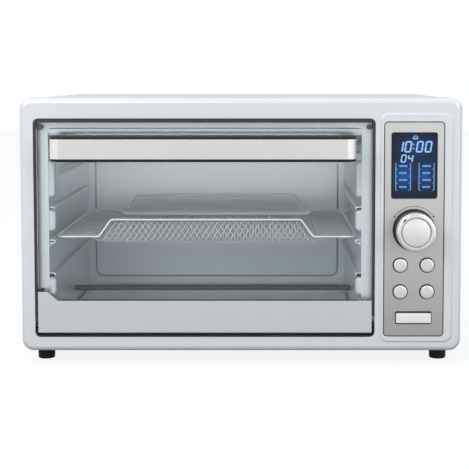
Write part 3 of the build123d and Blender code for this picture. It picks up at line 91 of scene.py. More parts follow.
def soft_box(name, place, aim, width, height, power, spread=180, tint=(1, 1, 1), mirrored=True):
    # a rectangular lamp that the camera never sees, and that metal sees only if it is mirrored
    light = bpy.data.lights.new(name, "AREA")
    light.shape = "RECTANGLE"
    light.size = width
    light.size_y = height
    light.energy = power
    light.spread = radians(spread)
    light.color = tint
    lamp = put_in_scene(name, light)
    lamp.location = place
    lamp.rotation_euler = (Vector(aim) - Vector(place)).to_track_quat("-Z", "Y").to_euler()
    lamp.visible_camera = False
    lamp.visible_transmission = False
    lamp.visible_glossy = mirrored


front_aim = (0, -0.1, 0.15)
soft_box("key_box", (-1.1, -1.9, 1.5), front_aim, width=1.4, height=1.0, power=35)
soft_box("fill_box", (1.5, -1.7, 0.9), front_aim, width=1.0, height=1.0, power=13)
soft_box("top_box", (0.0, 0.1, 1.9), (0, 0, 0), width=1.8, height=1.4, power=3)

# a flat beam behind the glass lights the back wall above the basket, unseen by the metal round it
roof_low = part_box("cavity_roof")[0]
wall_low, wall_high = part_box("cavity_back_wall")
rim_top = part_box("basket_rim")[1].z
beam_setback, beam_drop = 0.03, 0.0125
beam_z = (rim_top + roof_low.z) / 2 - beam_drop
beam_x = (wall_low.x + wall_high.x) / 2
soft_box(
    "cavity_beam", (beam_x, front_face_y + beam_setback, beam_z), (beam_x, wall_high.y, beam_z),
    width=0.34, height=0.02, power=0.26, spread=18, tint=(1, 0.89, 0.865), mirrored=False,
)


def add_node(tree, kind, inputs=None, operation=None):
    # a shader node's kind is given without its first word; an input takes a value, a socket to be
    # linked to, or a node for its first output
    node = tree.nodes.new(kind if kind.startswith(("Geometry", "NodeGroup")) else "ShaderNode" + kind)
    if operation:
        node.operation = operation
    for socket, value in (inputs or {}).items():
        if isinstance(value, bpy.types.Node):
            value = value.outputs[0]
        if isinstance(value, bpy.types.NodeSocket):
            tree.links.new(value, node.inputs[socket])
        else:
            node.inputs[socket].default_value = value
    return node


def math_node(tree, operation, *values):
    return add_node(tree, "Math", dict(enumerate(values)), operation)


def map_range(tree, value, from_low, from_high, to_low, to_high):
    limits = {"From Min": from_low, "From Max": from_high, "To Min": to_low, "To Max": to_high}
    return add_node(tree, "MapRange", {"Value": value, **limits})


def place_parts(tree, place="Object"):
    # X, Y and Z of the point that is shaded
    point = add_node(tree, "TexCoord").outputs[place]
    return add_node(tree, "SeparateXYZ", {0: point}).outputs


def by_ray(tree, rays, seen, otherwise):
    # one shader for the kinds of ray that are named, and another for all the rest
    path = add_node(tree, "LightPath")
    share = path.outputs[rays[0]]
    for ray in rays[1:]:
        share = math_node(tree, "MAXIMUM", share, path.outputs[ray])
    return add_node(tree, "MixShader", {"Fac": share, 1: otherwise, 2: seen})


def studio_shader(tree, seen, mirrored, lit):
    # what the camera sees, what reflections see, and what lights the oven
    unseen = by_ray(tree, ("Is Glossy Ray",), mirrored, lit)
    return by_ray(tree, ("Is Camera Ray", "Is Transmission Ray"), seen, unseen)


world = bpy.data.worlds.new("studio")
bpy.context.scene.world = world
world.use_nodes = True
world.node_tree.nodes.clear()
world_node = partial(add_node, world.node_tree)
world_fill = world_node("Background", {"Color": (0.93, 0.96, 1.0, 1), "Strength": 0.77})
world_white = world_node("Background", {"Color": (1, 1, 1, 1), "Strength": 1.0})

# reflections see a grey room behind the camera and bright cards to the left and right
world_side = math_node(world.node_tree, "ABSOLUTE", place_parts(world.node_tree, "Generated")["X"])
world_ramp = world_node("ValToRGB", {"Fac": world_side})
world_ramp.color_ramp.interpolation = "EASE"
card_levels = ((0.0, 0.66), (0.14, 0.69), (0.32, 1.0), (0.9, 1.0), (1.0, 0.85))
while len(world_ramp.color_ramp.elements) < len(card_levels):
    world_ramp.color_ramp.elements.new(0.5)
for stop, (place, level) in zip(world_ramp.color_ramp.elements, card_levels):
    stop.position = place
    stop.color = (level, level, level, 1)
world_cards = world_node("Background", {"Color": world_ramp})
world_all = studio_shader(world.node_tree, world_white, world_cards, world_fill)
world_node("OutputWorld", {"Surface": world_all})

floor_half = 6.0
floor_corners = ((-1, -1), (1, -1), (1, 1), (-1, 1))
floor_mesh = bpy.data.meshes.new("worktop")
floor_mesh.from_pydata([(floor_half * x, floor_half * y, 0) for x, y in floor_corners], [], [(0, 1, 2, 3)])
floor = put_in_scene("worktop", floor_mesh)

# the camera sees it white with a faint shadow, reflections see it darken towards the oven, and it
# throws back little light
floor_material = bpy.data.materials.new("worktop")
floor_material.use_nodes = True
floor_tree = floor_material.node_tree
floor_tree.nodes.clear()
floor_node = partial(add_node, floor_tree)
shadow_share, floor_dark, floor_pale, floor_edge = 0.14, 0.32, 0.80, 1.0
fade_reach, fade_start, fade_end = 1.6, 0.32, 0.90
floor_shadow = floor_node("BsdfDiffuse", {"Color": (0.92, 0.92, 0.92, 1)})
floor_white = floor_node("Emission", {"Strength": 1.0})
floor_seen = floor_node("MixShader", {"Fac": 1 - shadow_share, 1: floor_shadow, 2: floor_white})
floor_bounce = floor_node("BsdfDiffuse", {"Color": (0.26, 0.265, 0.27, 1)})
floor_at = place_parts(floor_tree)
forward = map_range(
    floor_tree, floor_at["Y"], front_face_y, front_face_y - fade_reach, floor_dark, floor_pale
)
floor_side = math_node(floor_tree, "ABSOLUTE", floor_at["X"])
sideways = map_range(floor_tree, floor_side, fade_start, fade_end, floor_dark, floor_edge)
floor_level = math_node(floor_tree, "MAXIMUM", forward, sideways)
floor_mirrored = floor_node("Emission", {"Color": floor_level, "Strength": 1.0})
floor_all = studio_shader(floor_tree, floor_seen, floor_mirrored, floor_bounce)
floor_node("OutputMaterial", {"Surface": floor_all})
floor_mesh.materials.append(floor_material)


# Painted casing: the moulded front frame, the wrapped steel cover, the lower door panel and the
# rear cover, all sprayed in one pale silver satin paint with a very fine fleck.


def add_sockets(tree, outputs, inputs):
    # outputs with their kinds, and inputs with kinds and first values; gives each input's identifier
    for label, kind in outputs:
        tree.interface.new_socket(label, in_out="OUTPUT", socket_type="NodeSocket" + kind)
    identifiers = {}
    for label, kind, value in inputs:
        socket = tree.interface.new_socket(label, in_out="INPUT", socket_type="NodeSocket" + kind)
        if value is not None:
            socket.default_value = value
        identifiers[label] = socket.identifier
    return identifiers


# one group for every worked surface: stretched noise shifts the colour, the gloss and the relief
surface_group = bpy.data.node_groups.new("worked_surface", "ShaderNodeTree")
add_sockets(surface_group, (("Color", "Color"), ("Roughness", "Float"), ("Grain", "Float")), (
    ("Color", "Color", (0.8, 0.8, 0.8, 1)),
    ("Color Change", "Float", 0.04),
    ("Roughness", "Float", 0.4),
    ("Roughness Change", "Float", 0.05),
    ("Grain Scale", "Float", 900),
    ("Patch Scale", "Float", 14),
    ("Patch Share", "Float", 0.5),
    ("Stretch", "Vector", (1, 1, 1)),
))
surface_node = partial(add_node, surface_group)
surface_math = partial(math_node, surface_group)
given = surface_node("NodeGroupInput").outputs
place = surface_node("TexCoord").outputs["Object"]
stretched = surface_node("VectorMath", {0: place, 1: given["Stretch"]}, "MULTIPLY")
grain_noise = surface_node("TexNoise", {"Vector": stretched, "Scale": given["Grain Scale"], "Detail": 3})
patch_noise = surface_node("TexNoise", {"Vector": place, "Scale": given["Patch Scale"], "Detail": 4})
grain, patch = grain_noise.outputs["Fac"], patch_noise.outputs["Fac"]
blend = surface_node("Mix", {"Factor": given["Patch Share"], "A": grain, "B": patch})
centred = surface_math("SUBTRACT", blend, 0.5)
tone = surface_math("MULTIPLY_ADD", centred, given["Color Change"], 1.0)
toned = surface_node("VectorMath", {0: given["Color"], "Scale": tone}, "SCALE")
rough = surface_math("MULTIPLY_ADD", centred, given["Roughness Change"], given["Roughness"])
surface_node("NodeGroupOutput", {"Color": toned, "Roughness": rough, "Grain": grain})


def worked_material(name, relief=0.0, relief_depth=0.0002, color_to="Base Color", **values):
    # a finish whose colour, roughness and fine relief come from the worked surface group; a value
    # is set on the group's input of that name, or on the shader's own where the group has none
    material = bpy.data.materials.new(name)
    material.use_nodes = True
    tree = material.node_tree
    shader = tree.nodes["Principled BSDF"]
    surface = tree.nodes.new("ShaderNodeGroup")
    surface.node_tree = surface_group
    for keyword, value in values.items():
        label = keyword.replace("_", " ")
        holder = surface if label in surface.inputs else shader
        holder.inputs[label].default_value = value
    if color_to:
        tree.links.new(surface.outputs["Color"], shader.inputs[color_to])
    tree.links.new(surface.outputs["Roughness"], shader.inputs["Roughness"])
    if relief:
        bump = add_node(tree, "Bump", {
            "Strength": relief, "Distance": relief_depth, "Height": surface.outputs["Grain"],
        })
        tree.links.new(bump.outputs["Normal"], shader.inputs["Normal"])
    return material


def set_down(name, mesh, material, node, stands_for=(), slot=None):
    # a finished mesh becomes a piece of the object, on a node's body; the slot it finds is not used
    body = frame["nodes"][node]["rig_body"]
    if slot is None:
        entries = frame["record"]["subparts"]
        slot = next(entry["material_slot"] for entry in entries if entry["node"] == node)
    piece = put_in_scene(name, mesh)
    mesh.name = name
    mesh.materials.clear()
    mesh.materials.append(material)
    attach(piece, body)
    if stands_for:
        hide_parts(*stands_for)


def baked(piece):
    # the mesh with its modifiers applied, and the working object removed
    bpy.context.view_layer.update()
    graph = bpy.context.evaluated_depsgraph_get()
    mesh = bpy.data.meshes.new_from_object(piece.evaluated_get(graph), depsgraph=graph)
    bpy.data.objects.remove(piece)
    return mesh


cad_merge, skin_merge, flat_angle = 2e-6, 1e-6, radians(0.4)


def merged_shell(node):
    # a working copy of a node's own mesh, with its doubled points merged
    shell = bmesh.new()
    shell.from_mesh(frame["nodes"][node].data)
    bmesh.ops.remove_doubles(shell, verts=shell.verts, dist=cad_merge)
    return shell


def shell_mesh(shell, crease=None, merge=False, outward=False):
    # a plain mesh, with doubled points merged, faces turned outward and smooth shading as asked
    if merge:
        bmesh.ops.remove_doubles(shell, verts=shell.verts, dist=skin_merge)
    if outward:
        bmesh.ops.recalc_face_normals(shell, faces=shell.faces)
    mesh = bpy.data.meshes.new("shell")
    shell.to_mesh(mesh)
    shell.free()
    if crease:
        mesh.polygons.foreach_set("use_smooth", [True] * len(mesh.polygons))
        mesh.set_sharp_from_angle(angle=radians(crease))
    return mesh


def smooth_finish(material, *nodes, crease=32, round_edges=0.0):
    # pressed or moulded nodes with their curved faces shaded smooth, and edges rounded if asked
    for node in nodes:
        shell = merged_shell(node)
        bmesh.ops.dissolve_limit(
            shell, angle_limit=flat_angle, verts=shell.verts, edges=shell.edges, delimit={"NORMAL"}
        )
        work = put_in_scene(node + "_work", shell_mesh(shell, crease))
        if round_edges:
            bevel = work.modifiers.new("broken_edges", "BEVEL")
            bevel.width = round_edges
            bevel.segments = 2
            bevel.limit_method = "ANGLE"
            bevel.angle_limit = radians(crease)
            bevel.harden_normals = True
        weighted = work.modifiers.new("flat_faces_stay_flat", "WEIGHTED_NORMAL")
        weighted.keep_sharp = True
        set_down(node + "_finish", baked(work), material, node, [node])


fine_fleck = {
    "Color_Change": 0.05, "Roughness_Change": 0.08, "Grain_Scale": 2600, "Patch_Scale": 9,
    "Patch_Share": 0.35, "relief": 0.06, "relief_depth": 0.00008,
}
body_paint = worked_material(
    "pale_silver_paint", Color=(0.66, 0.68, 0.70, 1), Roughness=0.36, Metallic=0.15, Coat_Weight=0.25,
    Coat_Roughness=0.18, **fine_fleck,
)
smooth_finish(body_paint, "front_frame", "outer_cover", "rear_cover")
door_paint = worked_material(
    "silver_door_paint", Color=(0.56, 0.585, 0.61, 1), Roughness=0.40, Metallic=0.2, Coat_Weight=0.2,
    Coat_Roughness=0.2, **fine_fleck,
)
smooth_finish(door_paint, "door_panel")


# Unpainted chassis sheet: the base pan, flange, heat shield and small brackets, cut and folded
# from zinc-plated steel with its faint spangle.


def plain_finish(material, *nodes):
    # flat sheets, boards and inner parts show the CAD's own mesh
    for node in nodes:
        frame["nodes"][node].material_slots[0].material = material


plated_sheet = worked_material(
    "zinc_plated_sheet", Color=(0.66, 0.68, 0.69, 1), Color_Change=0.18, Roughness=0.34,
    Roughness_Change=0.14, Grain_Scale=420, Patch_Scale=160, Patch_Share=0.6, relief=0.05, Metallic=1.0,
)
smooth_finish(plated_sheet, "base_plate", "hinge_lugs")
plain_finish(plated_sheet, "front_flange", "heat_shield", "hinge_brackets", "arm_bracket", "door_arm")


# Cavity: bright aluminised sheet walls with pressed rails, a dished back, and a loose crumb tray,
# slightly clouded by heat.

cavity_steel = worked_material(
    "aluminised_cavity_sheet", Color=(0.74, 0.80, 0.82, 1), Color_Change=0.08, Roughness=0.36,
    Roughness_Change=0.10, Grain_Scale=300, Patch_Scale=12, Patch_Share=0.7, relief=0.03, Metallic=0.75,
)
plain_finish(cavity_steel, "cavity_left_wall", "cavity_right_wall", "cavity_roof", "cavity_floor")
smooth_finish(cavity_steel, "crumb_tray")

# painted shade: the back wall's pressed field is darkened in a line along its crease, for the step's shadow
dished_steel = cavity_steel.copy()
dished_steel.name = "dished_back_sheet"
dish_tree = dished_steel.node_tree
field_margin_side, field_margin_low, field_margin_high, field_corner = 0.010, 0.0194, 0.015, 0.011
crease_inset, crease_shade_half_width, crease_shade_depth = 0.0009, 0.0024, 0.62
field_low = (wall_low.x + field_margin_side, wall_low.z + field_margin_low)
field_high = (wall_high.x - field_margin_side, wall_high.z - field_margin_high)
dish_at = place_parts(dish_tree)
dish_node = partial(add_node, dish_tree)
dish_math = partial(math_node, dish_tree)
beyond = {}
for axis, low, high in zip("XZ", field_low, field_high):
    from_middle = dish_math("ABSOLUTE", dish_math("SUBTRACT", dish_at[axis], (low + high) / 2))
    past_straight = dish_math("SUBTRACT", from_middle, (high - low) / 2 - field_corner)
    beyond[axis] = dish_math("MAXIMUM", past_straight, 0.0)
dish_join = dish_node("CombineXYZ", beyond)
dish_reach = dish_node("VectorMath", {0: dish_join}, "LENGTH").outputs["Value"]
from_edge = dish_math("ABSOLUTE", dish_math("SUBTRACT", dish_reach, field_corner - crease_inset))
# painted shade: the colour darkens in a thin line along the crease
painted_crease_shade = map_range(dish_tree, from_edge, 0.0, crease_shade_half_width, 1 - crease_shade_depth, 1.0)
painted_crease_shade.interpolation_type = "SMOOTHSTEP"
dish_base = dish_tree.nodes["Principled BSDF"].inputs["Base Color"]
plain_color = dish_base.links[0].from_socket
crease_shaded_color = dish_node("VectorMath", {0: plain_color, "Scale": painted_crease_shade}, "SCALE")
dish_tree.links.new(crease_shaded_color.outputs[0], dish_base)
smooth_finish(dished_steel, "cavity_back_wall", crease=20)


def skin(shell, rings, ends="capped"):
    # faces between neighbouring rings of points, where a ring of one point makes a tip; the ends
    # are capped, left open, or looped round to each other
    rings = [[shell.verts.new(point) for point in ring] for ring in rings]
    pairs = list(zip(rings, rings[1:]))
    if ends == "looped":
        pairs.append((rings[-1], rings[0]))
    for near, far in pairs:
        count = max(len(near), len(far))
        for k in range(count):
            after = (k + 1) % count
            corners = [near[k % len(near)], near[after % len(near)]]
            corners += [far[after % len(far)], far[k % len(far)]]
            unique = list(dict.fromkeys(corners))
            if len(unique) > 2:
                shell.faces.new(unique)
    if ends == "capped":
        shell.faces.new(rings[0])
        shell.faces.new(rings[-1][::-1])


# pressed beads stand between the rails just behind the mouth, rubbed bright by racks
bead_steel = worked_material(
    "rubbed_bead_steel", Color=(0.66, 0.70, 0.72, 1), Color_Change=0.06, Roughness=0.30,
    Roughness_Change=0.10, Grain_Scale=500, Patch_Scale=40, Metallic=0.6,
)
bead_setback, bead_reach, bead_half_depth, bead_end, wall_sheet = 0.022, 0.0074, 0.0046, 0.005, 0.001
bead_heights = ((0.0748, 0.0986), (0.1346, 0.1400), (0.1500, 0.1768), (0.1890, 0.2330))
bead_y = front_face_y + bead_setback
beads = bmesh.new()
for wall_x, inward in ((wall_low.x + wall_sheet, 1), (wall_high.x - wall_sheet, -1)):
    for low, high in bead_heights:
        end = min(bead_end, (high - low) / 2)
        foot = [(sin(radians(a)), low + end * (1 - cos(radians(a)))) for a in range(8, 91, 16)]
        foot.append((1, low + end))
        head = [(share, low + high - z) for share, z in reversed(foot)]
        skin(beads, [
            [
                (wall_x + inward * bead_reach * share * cos(radians(b)),
                 bead_y + bead_half_depth * share * sin(radians(b)), z)
                for b in range(-90, 91, 18)
            ]
            for share, z in foot + head
        ])
bead_mesh = shell_mesh(beads, crease=50, merge=True, outward=True)
set_down("wall_beads", bead_mesh, bead_steel, "cavity_left_wall", slot="cavity_steel")

# a rolled lip stiffens the roof's front edge just behind the flange
lip_setback, lip_gap, lip_shoulder = 0.0163, 0.00005, 0.0018
lip_flat, lip_roll, lip_drop = 0.0026, 0.0042, 0.0054
lip_front, lip_top = front_face_y + lip_setback, roof_low.z - lip_gap
lip_turns = [(sin(radians(a)), 1 - cos(radians(a))) for a in range(0, 91, 15)]
lip_section = [
    (lip_front + lip_shoulder * fall, lip_top - lip_shoulder * (1 - reach))
    for reach, fall in reversed(lip_turns)
] + [
    (lip_front + lip_roll * fall, lip_top - lip_shoulder - lip_flat - lip_drop * reach)
    for reach, fall in lip_turns
] + [(lip_front + lip_roll, lip_top)]
lip_ends = (wall_low.x + wall_sheet + lip_gap, wall_high.x - wall_sheet - lip_gap)
lip = bmesh.new()
skin(lip, [[(x, y, z) for y, z in lip_section] for x in lip_ends])
set_down("roof_lip", shell_mesh(lip, crease=35, outward=True), plated_sheet, "front_flange")


# Heating rods: straight sheathed elements, two above and two below the basket, oxidised dark by
# use. Their ends sit in white glazed ceramic bushes in the side walls.

heater_sheath = worked_material(
    "oxidised_heater_sheath", Color=(0.070, 0.076, 0.082, 1), Color_Change=0.25, Roughness=0.42,
    Roughness_Change=0.2, Grain_Scale=500, Patch_Scale=60, relief=0.05, Metallic=0.7,
)
smooth_finish(heater_sheath, "upper_heaters", "lower_heaters")
ceramic = worked_material(
    "glazed_ceramic", Color=(0.78, 0.75, 0.66, 1), Color_Change=0.08, Roughness=0.35, Grain_Scale=700,
)
smooth_finish(ceramic, "heater_bushes")


# Air circulation: the fan blade pressed from rolled sheet, its steel shaft, and the motor's stack
# of laminations behind the heat shield. Other small turned parts share the shaft's plating.

fan_sheet = worked_material(
    "rolled_fan_sheet", Color=(0.66, 0.67, 0.68, 1), Color_Change=0.12, Roughness=0.32, Grain_Scale=500,
    Stretch=(1, 1, 6), Metallic=1.0,
)
plain_finish(fan_sheet, "fan_blade")
motor_steel = worked_material(
    "motor_laminations", Color=(0.32, 0.33, 0.35, 1), Color_Change=0.4, Roughness=0.45,
    Stretch=(6, 0.1, 0.1), relief=0.2, Metallic=1.0,
)
smooth_finish(motor_steel, "fan_motor")
bright_steel = worked_material(
    "bright_plated_steel", Color=(0.70, 0.71, 0.72, 1), Color_Change=0.08, Roughness=0.16,
    Roughness_Change=0.08, Metallic=1.0,
)
smooth_finish(bright_steel, "fan_shaft", "encoder_shaft", "arm_rivet", "temperature_probe")


# Electronics behind the controls: green laminate boards with their posts, switches, encoder and
# display housing, and the terminal block by the cord entry.

circuit_board = worked_material(
    "green_laminate", Color=(0.02, 0.13, 0.05, 1), Color_Change=0.3, Roughness=0.35, Grain_Scale=1500,
    Stretch=(1, 1, 0.3),
)
plain_finish(circuit_board, "control_board", "power_board")
black_mould = worked_material(
    "black_moulding", Color=(0.010, 0.010, 0.011, 1), Color_Change=0.25, Roughness=0.5, Roughness_Change=0.12,
    Grain_Scale=1400, Patch_Scale=30, relief=0.12, relief_depth=0.00015, Specular_IOR_Level=0.25,
)
plain_finish(black_mould, "display_module", "push_switches", "terminal_block", "encoder_body")
smooth_finish(black_mould, "board_posts", "board_standoffs", "cord_gland")


# Feet: four feet moulded in black, with softly rounded toes, each hollow below for the screw that
# holds it to the base.

smooth_finish(black_mould, "feet", crease=40)


# Screws: pan heads with a cross recess, eight in the rear cover, four up through the feet and two
# behind the handle. One tree puts a head and shank at every point of a small mesh of places.

screw_tree = bpy.data.node_groups.new("screw_set", "GeometryNodeTree")
screw_inputs = add_sockets(screw_tree, (("Geometry", "Geometry"),), (
    ("Geometry", "Geometry", None),
    ("Screw", "Object", None),
    ("Turn", "Vector", (0, 0, 0)),
    ("Finish", "Material", None),
))
screw_node = partial(add_node, screw_tree)
given = screw_node("NodeGroupInput").outputs
pattern = screw_node("GeometryNodeObjectInfo", {"Object": given["Screw"]}).outputs["Geometry"]
points = screw_node("GeometryNodeMeshToPoints", {"Mesh": given["Geometry"]})
placed = screw_node(
    "GeometryNodeInstanceOnPoints", {"Points": points, "Instance": pattern, "Rotation": given["Turn"]}
)


def finish_tree(tree, geometry, material):
    # instances become plain faces with their material, and leave the tree
    real = add_node(tree, "GeometryNodeRealizeInstances", {"Geometry": geometry})
    finish = add_node(tree, "GeometryNodeSetMaterial", {"Geometry": real, "Material": material})
    add_node(tree, "NodeGroupOutput", {"Geometry": finish})


def grown(name, mesh, tree, identifiers, values):
    # the mesh that a tree makes of another one, with its inputs set by identifier
    work = put_in_scene(name + "_work", mesh)
    growing = work.modifiers.new("growing", "NODES")
    growing.node_group = tree
    for label, value in values.items():
        growing[identifiers[label]] = value
    return baked(work)


finish_tree(screw_tree, placed, given["Finish"])


def turned_mesh(profile, segments, crease=35):
    # a closed shape turned about Z from radius and height pairs that start and end on the axis
    turns = [2 * pi * k / segments for k in range(segments)]
    shell = bmesh.new()
    skin(shell, [
        [(radius * cos(turn), radius * sin(turn), height) for turn in (turns if radius else [0])]
        for radius, height in profile
    ], ends="open")
    return shell_mesh(shell, crease, outward=True)


def screw_mesh(name, shank_radius, shank_length, head_radius, head_height):
    # head at the top with its underside at zero height, and a cross cut into it
    crown = []
    for a in range(0, 90, 18):
        crown.append((head_radius * cos(radians(a)), head_height * (0.35 + 0.65 * sin(radians(a)))))
    profile = [(0, -shank_length), (shank_radius * 0.7, -shank_length), (shank_radius, -shank_length * 0.9),
               (shank_radius, 0), (head_radius * 0.97, 0), *crown, (0, head_height)]
    screw = put_in_scene(name, turned_mesh(profile, segments=24))
    cutters = []
    for angle in (0, pi / 2):
        blade = bmesh.new()
        bmesh.ops.create_cube(blade, size=1)
        size = Matrix.Diagonal((head_radius * 1.2, head_radius * 0.26, head_height * 1.1, 1))
        lift = Matrix.Translation((0, 0, head_height * 1.05))
        blade.transform(Matrix.Rotation(angle, 4, "Z") @ lift @ size)
        cutters.append(put_in_scene(name + "_cutter", shell_mesh(blade)))
        cut = screw.modifiers.new("cross", "BOOLEAN")
        cut.operation = "DIFFERENCE"
        cut.solver = "EXACT"
        cut.object = cutters[-1]
    finished = baked(screw)
    for cutter in cutters:
        bpy.data.objects.remove(cutter)
    return put_in_scene(name, finished)


def solid_boxes(node):
    # the low and high corner of every separate solid in a node, in order
    shell = merged_shell(node)
    left = set(shell.verts)
    boxes = []
    while left:
        group = {left.pop()}
        edge = set(group)
        while edge:
            edge = {e.other_vert(v) for v in edge for e in v.link_edges} - group
            group |= edge
        left -= group
        low = Vector(min(v.co[k] for v in group) for k in range(3))
        high = Vector(max(v.co[k] for v in group) for k in range(3))
        boxes.append((low, high))
    shell.free()
    return sorted(boxes, key=lambda pair: tuple(pair[0]))


def screw_set(node, shank_radius, shank_length, head_radius, head_height, turn, axis=1, heads_low=False):
    # a pattern screw at the place of each solid, as one plain mesh that stands for the node
    solids = solid_boxes(node)
    if shank_length is None:
        shank_length = solids[0][1][axis] - solids[0][0][axis] - head_height
    places = []
    for low, high in solids:
        place = [(low[k] + high[k]) / 2 for k in range(3)]
        place[axis] = low[axis] + head_height if heads_low else high[axis] - head_height
        places.append(place)
    pattern = screw_mesh(node + "_pattern", shank_radius, shank_length, head_radius, head_height)
    points = bpy.data.meshes.new(node)
    points.from_pydata(places, [], [])
    values = {"Screw": pattern, "Turn": [radians(angle) for angle in turn], "Finish": bright_steel}
    finished = grown(node, points, screw_tree, screw_inputs, values)
    bpy.data.objects.remove(pattern)
    set_down(node + "_set", finished, bright_steel, node, [node])


screw_set("cover_screws", 0.0018, 0.008, head_radius=0.0035, head_height=0.002, turn=(-90, 0, 20))
screw_set(
    "foot_screws", 0.002, None, head_radius=0.0038, head_height=0.0024, turn=(180, 0, 0), axis=2,
    heads_low=True,
)
screw_set("handle_screws", 0.002, None, head_radius=0.0045, head_height=0.003, turn=(-90, 0, 8))


# Door glass: one clear toughened pane with ground edges, and two small silicone buffers that it
# closes against.

glass = worked_material(
    "toughened_glass", color_to=None, Base_Color=(0.925, 0.965, 0.975, 1), Transmission_Weight=1.0,
    IOR=1.45, Roughness=0.006, Roughness_Change=0.008, Grain_Scale=6, Patch_Scale=3,
)
glass_tree = glass.node_tree
clear = add_node(glass_tree, "BsdfTransparent", {"Color": (0.94, 0.965, 0.97, 1)})
solid = glass_tree.nodes["Principled BSDF"]
glass_all = by_ray(glass_tree, ("Is Shadow Ray", "Is Diffuse Ray"), clear, solid)
glass_tree.links.new(glass_all.outputs[0], glass_tree.nodes["Material Output"].inputs["Surface"])
smooth_finish(glass, "door_glass")

bumper_rubber = worked_material(
    "black_silicone", Color=(0.026, 0.028, 0.030, 1), Color_Change=0.2, Roughness=0.6, Grain_Scale=1200,
    relief=0.08,
)
smooth_finish(bumper_rubber, "door_bumpers", crease=40)

# a black rubber lip lines the top and sides of the opening, and a second one lines the sill:
# painted shade standing in for the shadow in the gap round the door
glass_low, glass_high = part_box("door_glass")
side_gap, top_gap, sill_gap, opening_corner = 0.0036, 0.0052, 0.0046, 0.006
opening_sides = (glass_low.x - side_gap, glass_high.x + side_gap)
opening_top = glass_high.z + top_gap
opening_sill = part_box("door_panel")[0].z - sill_gap
seal_depth = 0.0149
seal_back = front_face_y + seal_depth


def lip_path(far_z, rise, foot_z, side_inset, end_inset, corner, steps=8):
    # X and Z along a U that starts and ends at one height and turns the opening's two corners
    left, right = opening_sides[0] + side_inset, opening_sides[1] - side_inset
    middle_z = far_z - rise * (end_inset + corner)
    turns = [(corner * cos(pi / 2 * k / steps), corner * sin(pi / 2 * k / steps)) for k in range(steps + 1)]
    first = [(left + corner - across, middle_z + rise * along) for across, along in turns]
    second = [(right - corner + across, middle_z + rise * along) for across, along in reversed(turns)]
    return [(left, foot_z), *first, *second, (right, foot_z)]


def shade_seal_strip(name, outer, inner, front):
    # painted shade: dark rubber that fills the space between two paths, from its front edge back to the
    # flange
    corners = ((0, front), (0, seal_back), (1, seal_back), (1, front))
    shell = bmesh.new()
    skin(shell, [[(pair[side][0], y, pair[side][1]) for side, y in corners] for pair in zip(outer, inner)])
    set_down(name, shell_mesh(shell, outward=True), bumper_rubber, "door_bumpers")


seal_skin, seal_foot_z, seal_play, seal_corner, seal_setback = 0.0001, 0.056, 0.0005, 0.0016, 0.0012
shade_seal_strip(
    "opening_seal",
    lip_path(opening_top, 1, seal_foot_z, seal_skin, seal_skin, opening_corner - seal_skin),
    lip_path(opening_top, 1, seal_foot_z, side_gap - seal_play, top_gap - seal_play, seal_corner),
    front_face_y + seal_setback,
)
sill_foot_z, sill_lip, sill_setback = 0.0402, 0.0014, 0.0008
shade_seal_strip(
    "sill_seal",
    lip_path(opening_sill, -1, sill_foot_z, seal_skin, seal_skin, opening_corner - seal_skin),
    lip_path(opening_sill, -1, sill_foot_z, sill_lip, sill_lip, opening_corner - sill_lip),
    front_face_y + sill_setback,
)
hinge_steel = worked_material(
    "blackened_hinge_pin", Color=(0.06, 0.06, 0.065, 1), Color_Change=0.2, Roughness=0.4,
    Metallic=1.0,
)
smooth_finish(hinge_steel, "hinge_pins")


# Handle: a black moulded bar bent back to the glass at both ends, faced with a brushed steel strip
# that wraps round the bends.

smooth_finish(black_mould, "handle_core")
handle_steel = worked_material(
    "brushed_handle_strip", Color=(0.85, 0.85, 0.84, 1), Color_Change=0.07, Roughness=0.27,
    Roughness_Change=0.08, Grain_Scale=60, Patch_Scale=5, Patch_Share=0.25, Stretch=(0.6, 30, 30),
    relief=0.05, relief_depth=0.00005, Metallic=1.0, Anisotropic=0.5,
)
smooth_finish(handle_steel, "handle_bar", round_edges=0.00025)


# Control plate: thin steel, brushed along its length, set in the front frame with a foam gasket
# round it, near black as painted shade for the shadow gap round the plate. A printed arc with two end dots
# marks the knob's travel.

control_steel = worked_material(
    "brushed_control_plate", Color=(0.66, 0.66, 0.655, 1), Color_Change=0.12, Roughness=0.38,
    Roughness_Change=0.12, Grain_Scale=60, Patch_Scale=6, Patch_Share=0.2, Stretch=(30, 30, 0.8),
    relief=0.05, relief_depth=0.00005, Metallic=1.0, Anisotropic=0.4,
)
plain_finish(control_steel, "control_plate")
plate_low, plate_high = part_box("control_plate")
# painted shade: the gasket is near black, for the shadow in the gap round the plate
shade_gasket_foam = worked_material(
    "dark_foam_gasket_painted_shade", Color=(0.035, 0.036, 0.04, 1), Color_Change=0.4, Roughness=0.8, Grain_Scale=2500,
    relief=0.2,
)


def rounded_outline(low, high, corner, steps=8):
    # X and Z of the points round a rectangle with rounded corners
    points = []
    for turn, (x, z) in enumerate((
        (high[0] - corner, high[1] - corner), (low[0] + corner, high[1] - corner),
        (low[0] + corner, low[1] + corner), (high[0] - corner, low[1] + corner),
    )):
        for k in range(steps + 1):
            angle = pi / 2 * (turn + k / steps)
            points.append((x + corner * cos(angle), z + corner * sin(angle)))
    return points


def lofted(sections, ends="capped"):
    # a skin through outlines in X and Z that each lie at one depth
    shell = bmesh.new()
    skin(shell, [[(x, y, z) for x, z in outline] for outline, y in sections], ends)
    return shell_mesh(shell, crease=35, outward=True)


def plate_outline(grow, corner=0.004):
    return rounded_outline(
        (plate_low.x - grow, plate_low.z - grow), (plate_high.x + grow, plate_high.z + grow), corner + grow
    )


